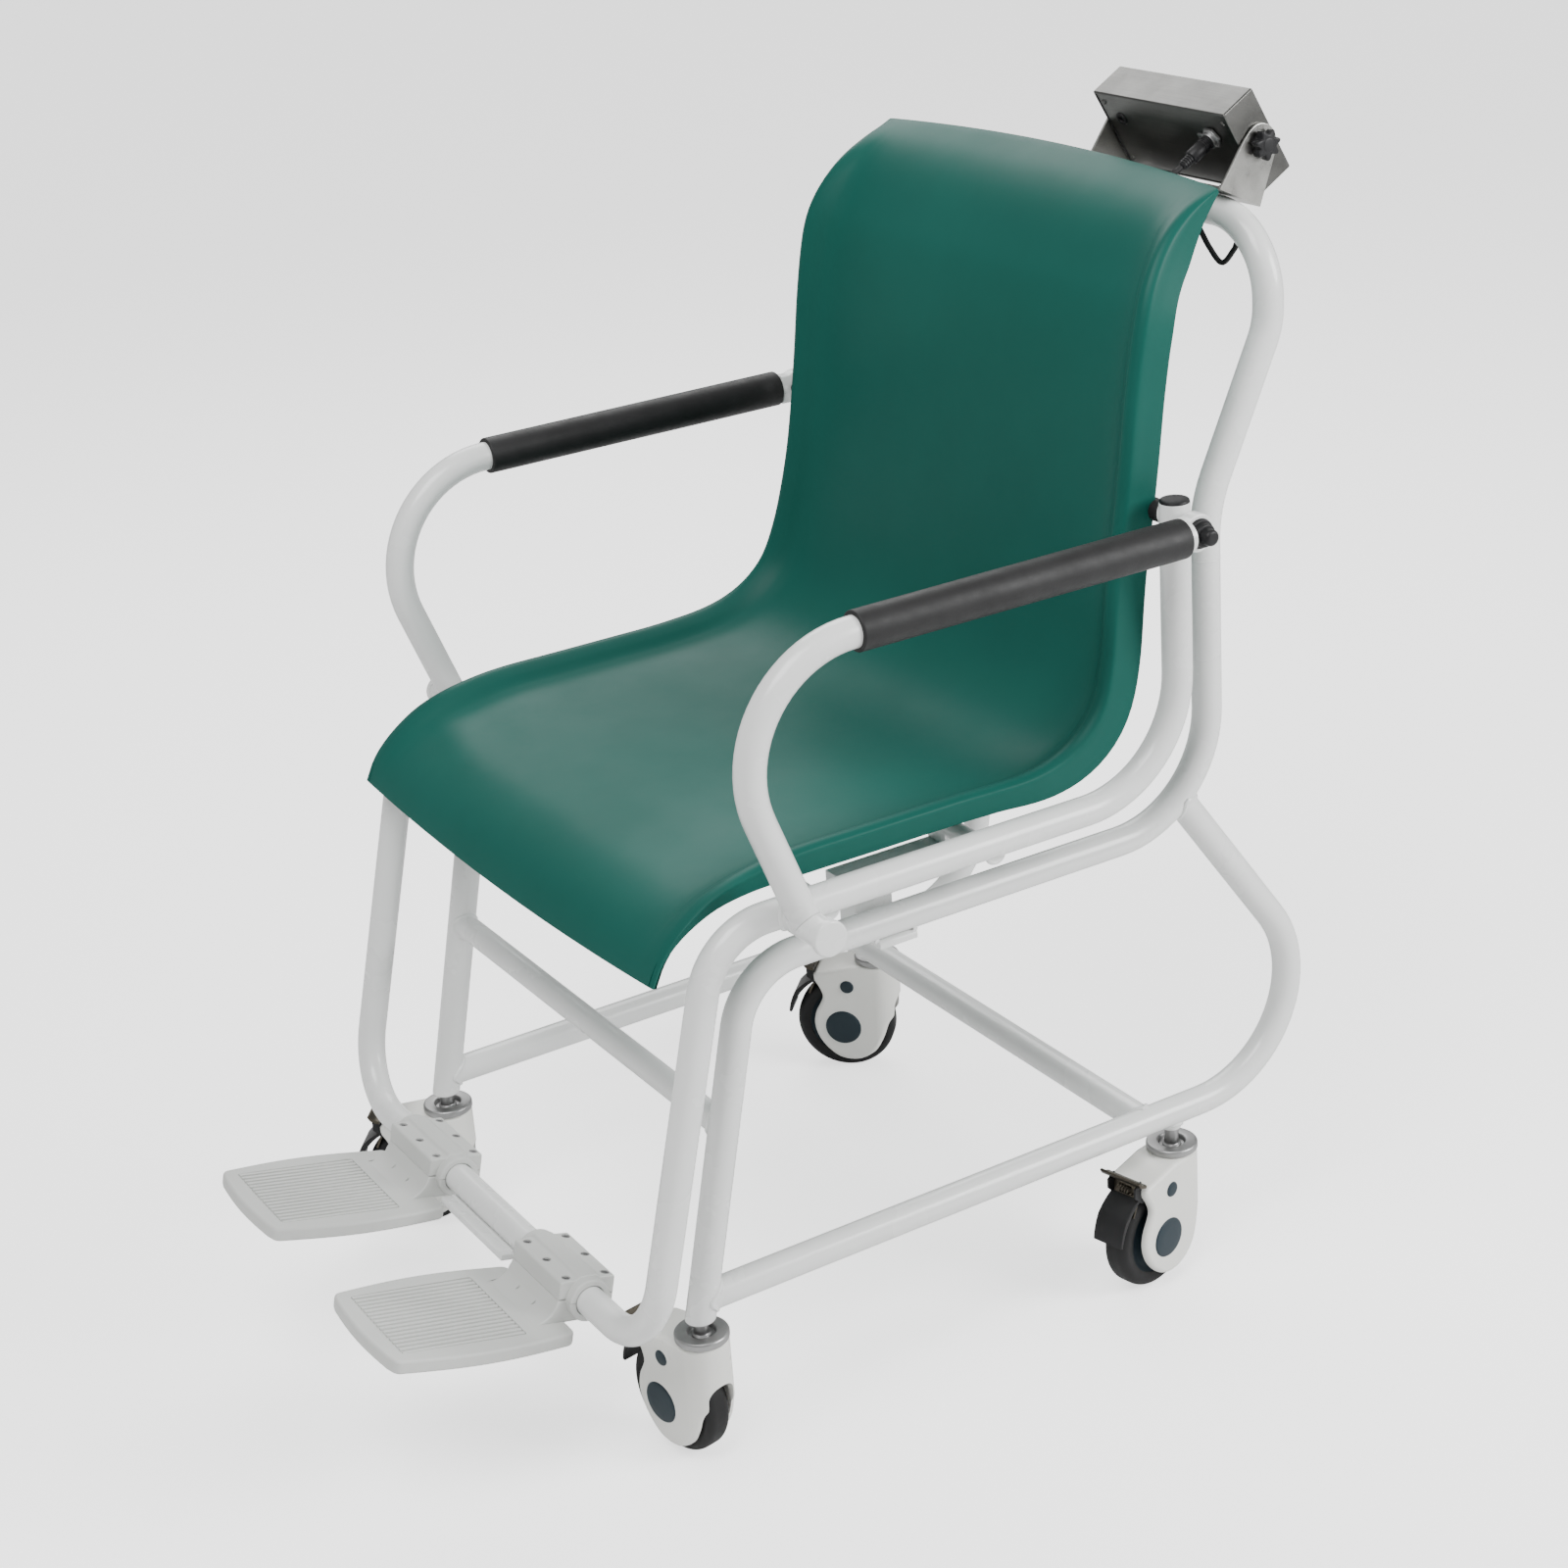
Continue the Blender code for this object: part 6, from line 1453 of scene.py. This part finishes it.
    def socket(self):
        at = self.at @ move(SOCKET[0], -17.3, SOCKET[1]) @ turn(90, "X")
        bm = bmesh.new()
        lathe(bm, filleted([(0, 6), (7.4, 6), (7.4, 3.2), (8.5, 2.6), (8.5, 0), (0, 0)],
                           [0, 0.6, 0.2, 0.4, 0.3, 0], 4), at, 48)
        nut = [(9.6 * math.cos(math.tau * k / 6), 9.6 * math.sin(math.tau * k / 6))
               for k in range(6)]
        prism(bm, nut, -0.2, 2.4, 0.4, 2, at)
        block(bm, (-16, -2.2, 0.4), (-7.5, 2.6, 2.6), 0.5, 2, at)
        finished("cable_socket_ring", bm, zinc_steel(), "indicator", ["cable_socket"])
        bm = bmesh.new()
        profile = [(0, 6.3), (6.1, 6.3)]
        for k in range(4):
            z = 7.0 + k * 1.7
            profile += [(6.25, z), (6.25, z + 0.9), (5.8, z + 1.1), (5.8, z + 1.5)]
        profile += [(6.1, 14.2), (6.1, 25.4), (5.4, 26.6), (4.4, 26.8)]
        for k in range(4):
            z = 27.2 + k * 2.3
            profile += [(4.4, z), (4.4, z + 1.3), (3.8, z + 1.5), (3.8, z + 2.0)]
        profile += [(3.0, 37.2), (0, 37.2)]
        lathe(bm, profile, at, 40)
        finished("plug_body", bm, black_plastic(), "indicator", ["cable_plug"])


class CHAIRSCALE_OT_cable(Builder, bpy.types.Operator):
    """Builds the cable from the indicator's plug into the handle"""
    bl_idname = "chair_scale.cable"
    bl_label = "Cable"

    def make(self):
        line = self.route()
        radius = sizes().cable / MM / 2
        bm = bmesh.new()
        sweep(bm, line, radius, 16)
        cable = finished("indicator_lead", bm, black_rubber(), "frame", ["indicator_cable"])
        cable.parent = None
        del cable["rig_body"]
        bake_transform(cable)

    def route(self):
        tilt = Matrix.Rotation(CASE_TILT, 3, "X")
        start = INDICATOR + tilt @ Vector((SOCKET[0], -54.9, SOCKET[1]))
        lead = tilt @ Vector((0, -5, 0))
        angle = math.radians(32)
        entry = Vector((math.sin(angle), 0, math.cos(angle)))
        bend = Vector((BASE_X - HANDLE_BEND_R, HANDLE_Y, HANDLE_Z - HANDLE_BEND_R))
        end = bend + entry * 48.9
        ways = [(167, 303, 914), (170, 316, 894), (176, 324, 874), (184, 330, 862)]
        points = [start, start + lead, start + 2 * lead, *ways, end - 10 * entry,
                  end - 5 * entry, end]
        return smooth_line(points, 60)


class CHAIRSCALE_OT_stage(Builder, bpy.types.Operator):
    """Builds the floor, the lights and the camera"""
    bl_idname = "chair_scale.stage"
    bl_label = "Floor, lights and camera"

    def make(self):
        scene = bpy.context.scene
        bm = bmesh.new()
        bmesh.ops.create_grid(bm, x_segments=1, y_segments=1, size=14)
        floor = new_object("floor", bm)
        paint = finish("floor_paint", (0.86, 0.86, 0.86), 0.7, tone_spread=0.01, tone_scale=0.6,
                       depth=0.00001, dust=0.0, specular=0.1)
        self.bright_to_camera(paint, 1.5)
        floor.data.materials.append(paint)
        world = bpy.data.worlds.new("studio")
        world.use_nodes = True
        world.node_tree.nodes["Background"].inputs["Color"].default_value = (1, 1, 1, 1)
        world.node_tree.nodes["Background"].inputs["Strength"].default_value = 0.45
        scene.world = world
        self.light("key", (2.3, 2.0, 1.8), (0, 0, 0.5), 1.4, 105)
        self.light("top", (0.9, -1.3, 3.0), (0, 0, 0.4), 1.6, 80)
        self.light("back", (-2.0, 1.0, 2.5), (0, 0.1, 0.4), 1.8, 45)
        data = bpy.data.cameras.new("camera")
        data.lens = CAMERA_LENS
        data.sensor_width = CAMERA_FRAME
        camera = bpy.data.objects.new("camera", data)
        scene.collection.objects.link(camera)
        first, second, third = (turn(*way) for way in CAMERA_TURNS)
        spot = (CAMERA_SPOT + DRAWING_ZERO) * MM
        camera.matrix_world = Matrix.Translation(spot) @ first @ second @ third
        scene.camera = camera

    def bright_to_camera(self, paint, strength):
        """Lifts the floor's tone in the picture only, so that it throws no extra light."""
        nodes, links = paint.node_tree.nodes, paint.node_tree.links
        surface = next(n for n in nodes if n.type == "BSDF_PRINCIPLED")
        seen = nodes.new("ShaderNodeLightPath")
        lift = nodes.new("ShaderNodeMath")
        lift.operation = "MULTIPLY"
        lift.inputs[1].default_value = strength
        links.new(seen.outputs["Is Camera Ray"], lift.inputs[0])
        surface.inputs["Emission Color"].default_value = (1, 1, 1, 1)
        links.new(lift.outputs[0], surface.inputs["Emission Strength"])

    def light(self, name, spot, aim, size, watts):
        data = bpy.data.lights.new(name, "AREA")
        data.size = size
        data.energy = watts
        lamp = bpy.data.objects.new(name, data)
        bpy.context.scene.collection.objects.link(lamp)
        lamp.location = spot
        lamp.rotation_euler = (Vector(aim) - Vector(spot)).to_track_quat("-Z", "Y").to_euler()


BUILDERS = [CHAIRSCALE_OT_stage, CHAIRSCALE_OT_base, CHAIRSCALE_OT_seat_frame,
            CHAIRSCALE_OT_shell, CHAIRSCALE_OT_armrests, CHAIRSCALE_OT_footplates,
            CHAIRSCALE_OT_castors, CHAIRSCALE_OT_indicator, CHAIRSCALE_OT_cable]


class CHAIRSCALE_PT_pieces(bpy.types.Panel):
    """Lists the pieces that can be built, and their sizes and colours"""
    bl_idname = "CHAIRSCALE_PT_pieces"
    bl_label = "Chair scale"
    bl_space_type = "VIEW_3D"
    bl_region_type = "UI"
    bl_category = "Chair scale"

    def draw(self, context):
        column = self.layout.column()
        for builder in BUILDERS:
            column.operator(builder.bl_idname)
        for settings in (context.scene.chair_scale_sizes, context.scene.chair_scale_colours):
            for name in settings.bl_rna.properties.keys():
                if name not in ("rna_type", "name"):
                    column.prop(settings, name)


CLASSES = [ChairScaleSizes, ChairScaleColours, *BUILDERS, CHAIRSCALE_PT_pieces]


def register():
    for made in CLASSES:
        bpy.utils.register_class(made)
    bpy.types.Scene.chair_scale_sizes = PointerProperty(type=ChairScaleSizes)
    bpy.types.Scene.chair_scale_colours = PointerProperty(type=ChairScaleColours)


def unregister():
    del bpy.types.Scene.chair_scale_colours
    del bpy.types.Scene.chair_scale_sizes
    for made in reversed(CLASSES):
        bpy.utils.unregister_class(made)


def main():
    register()
    for builder in BUILDERS:
        group_name, operator = builder.bl_idname.split(".")
        getattr(getattr(bpy.ops, group_name), operator)()


if __name__ == "__main__":
    main()
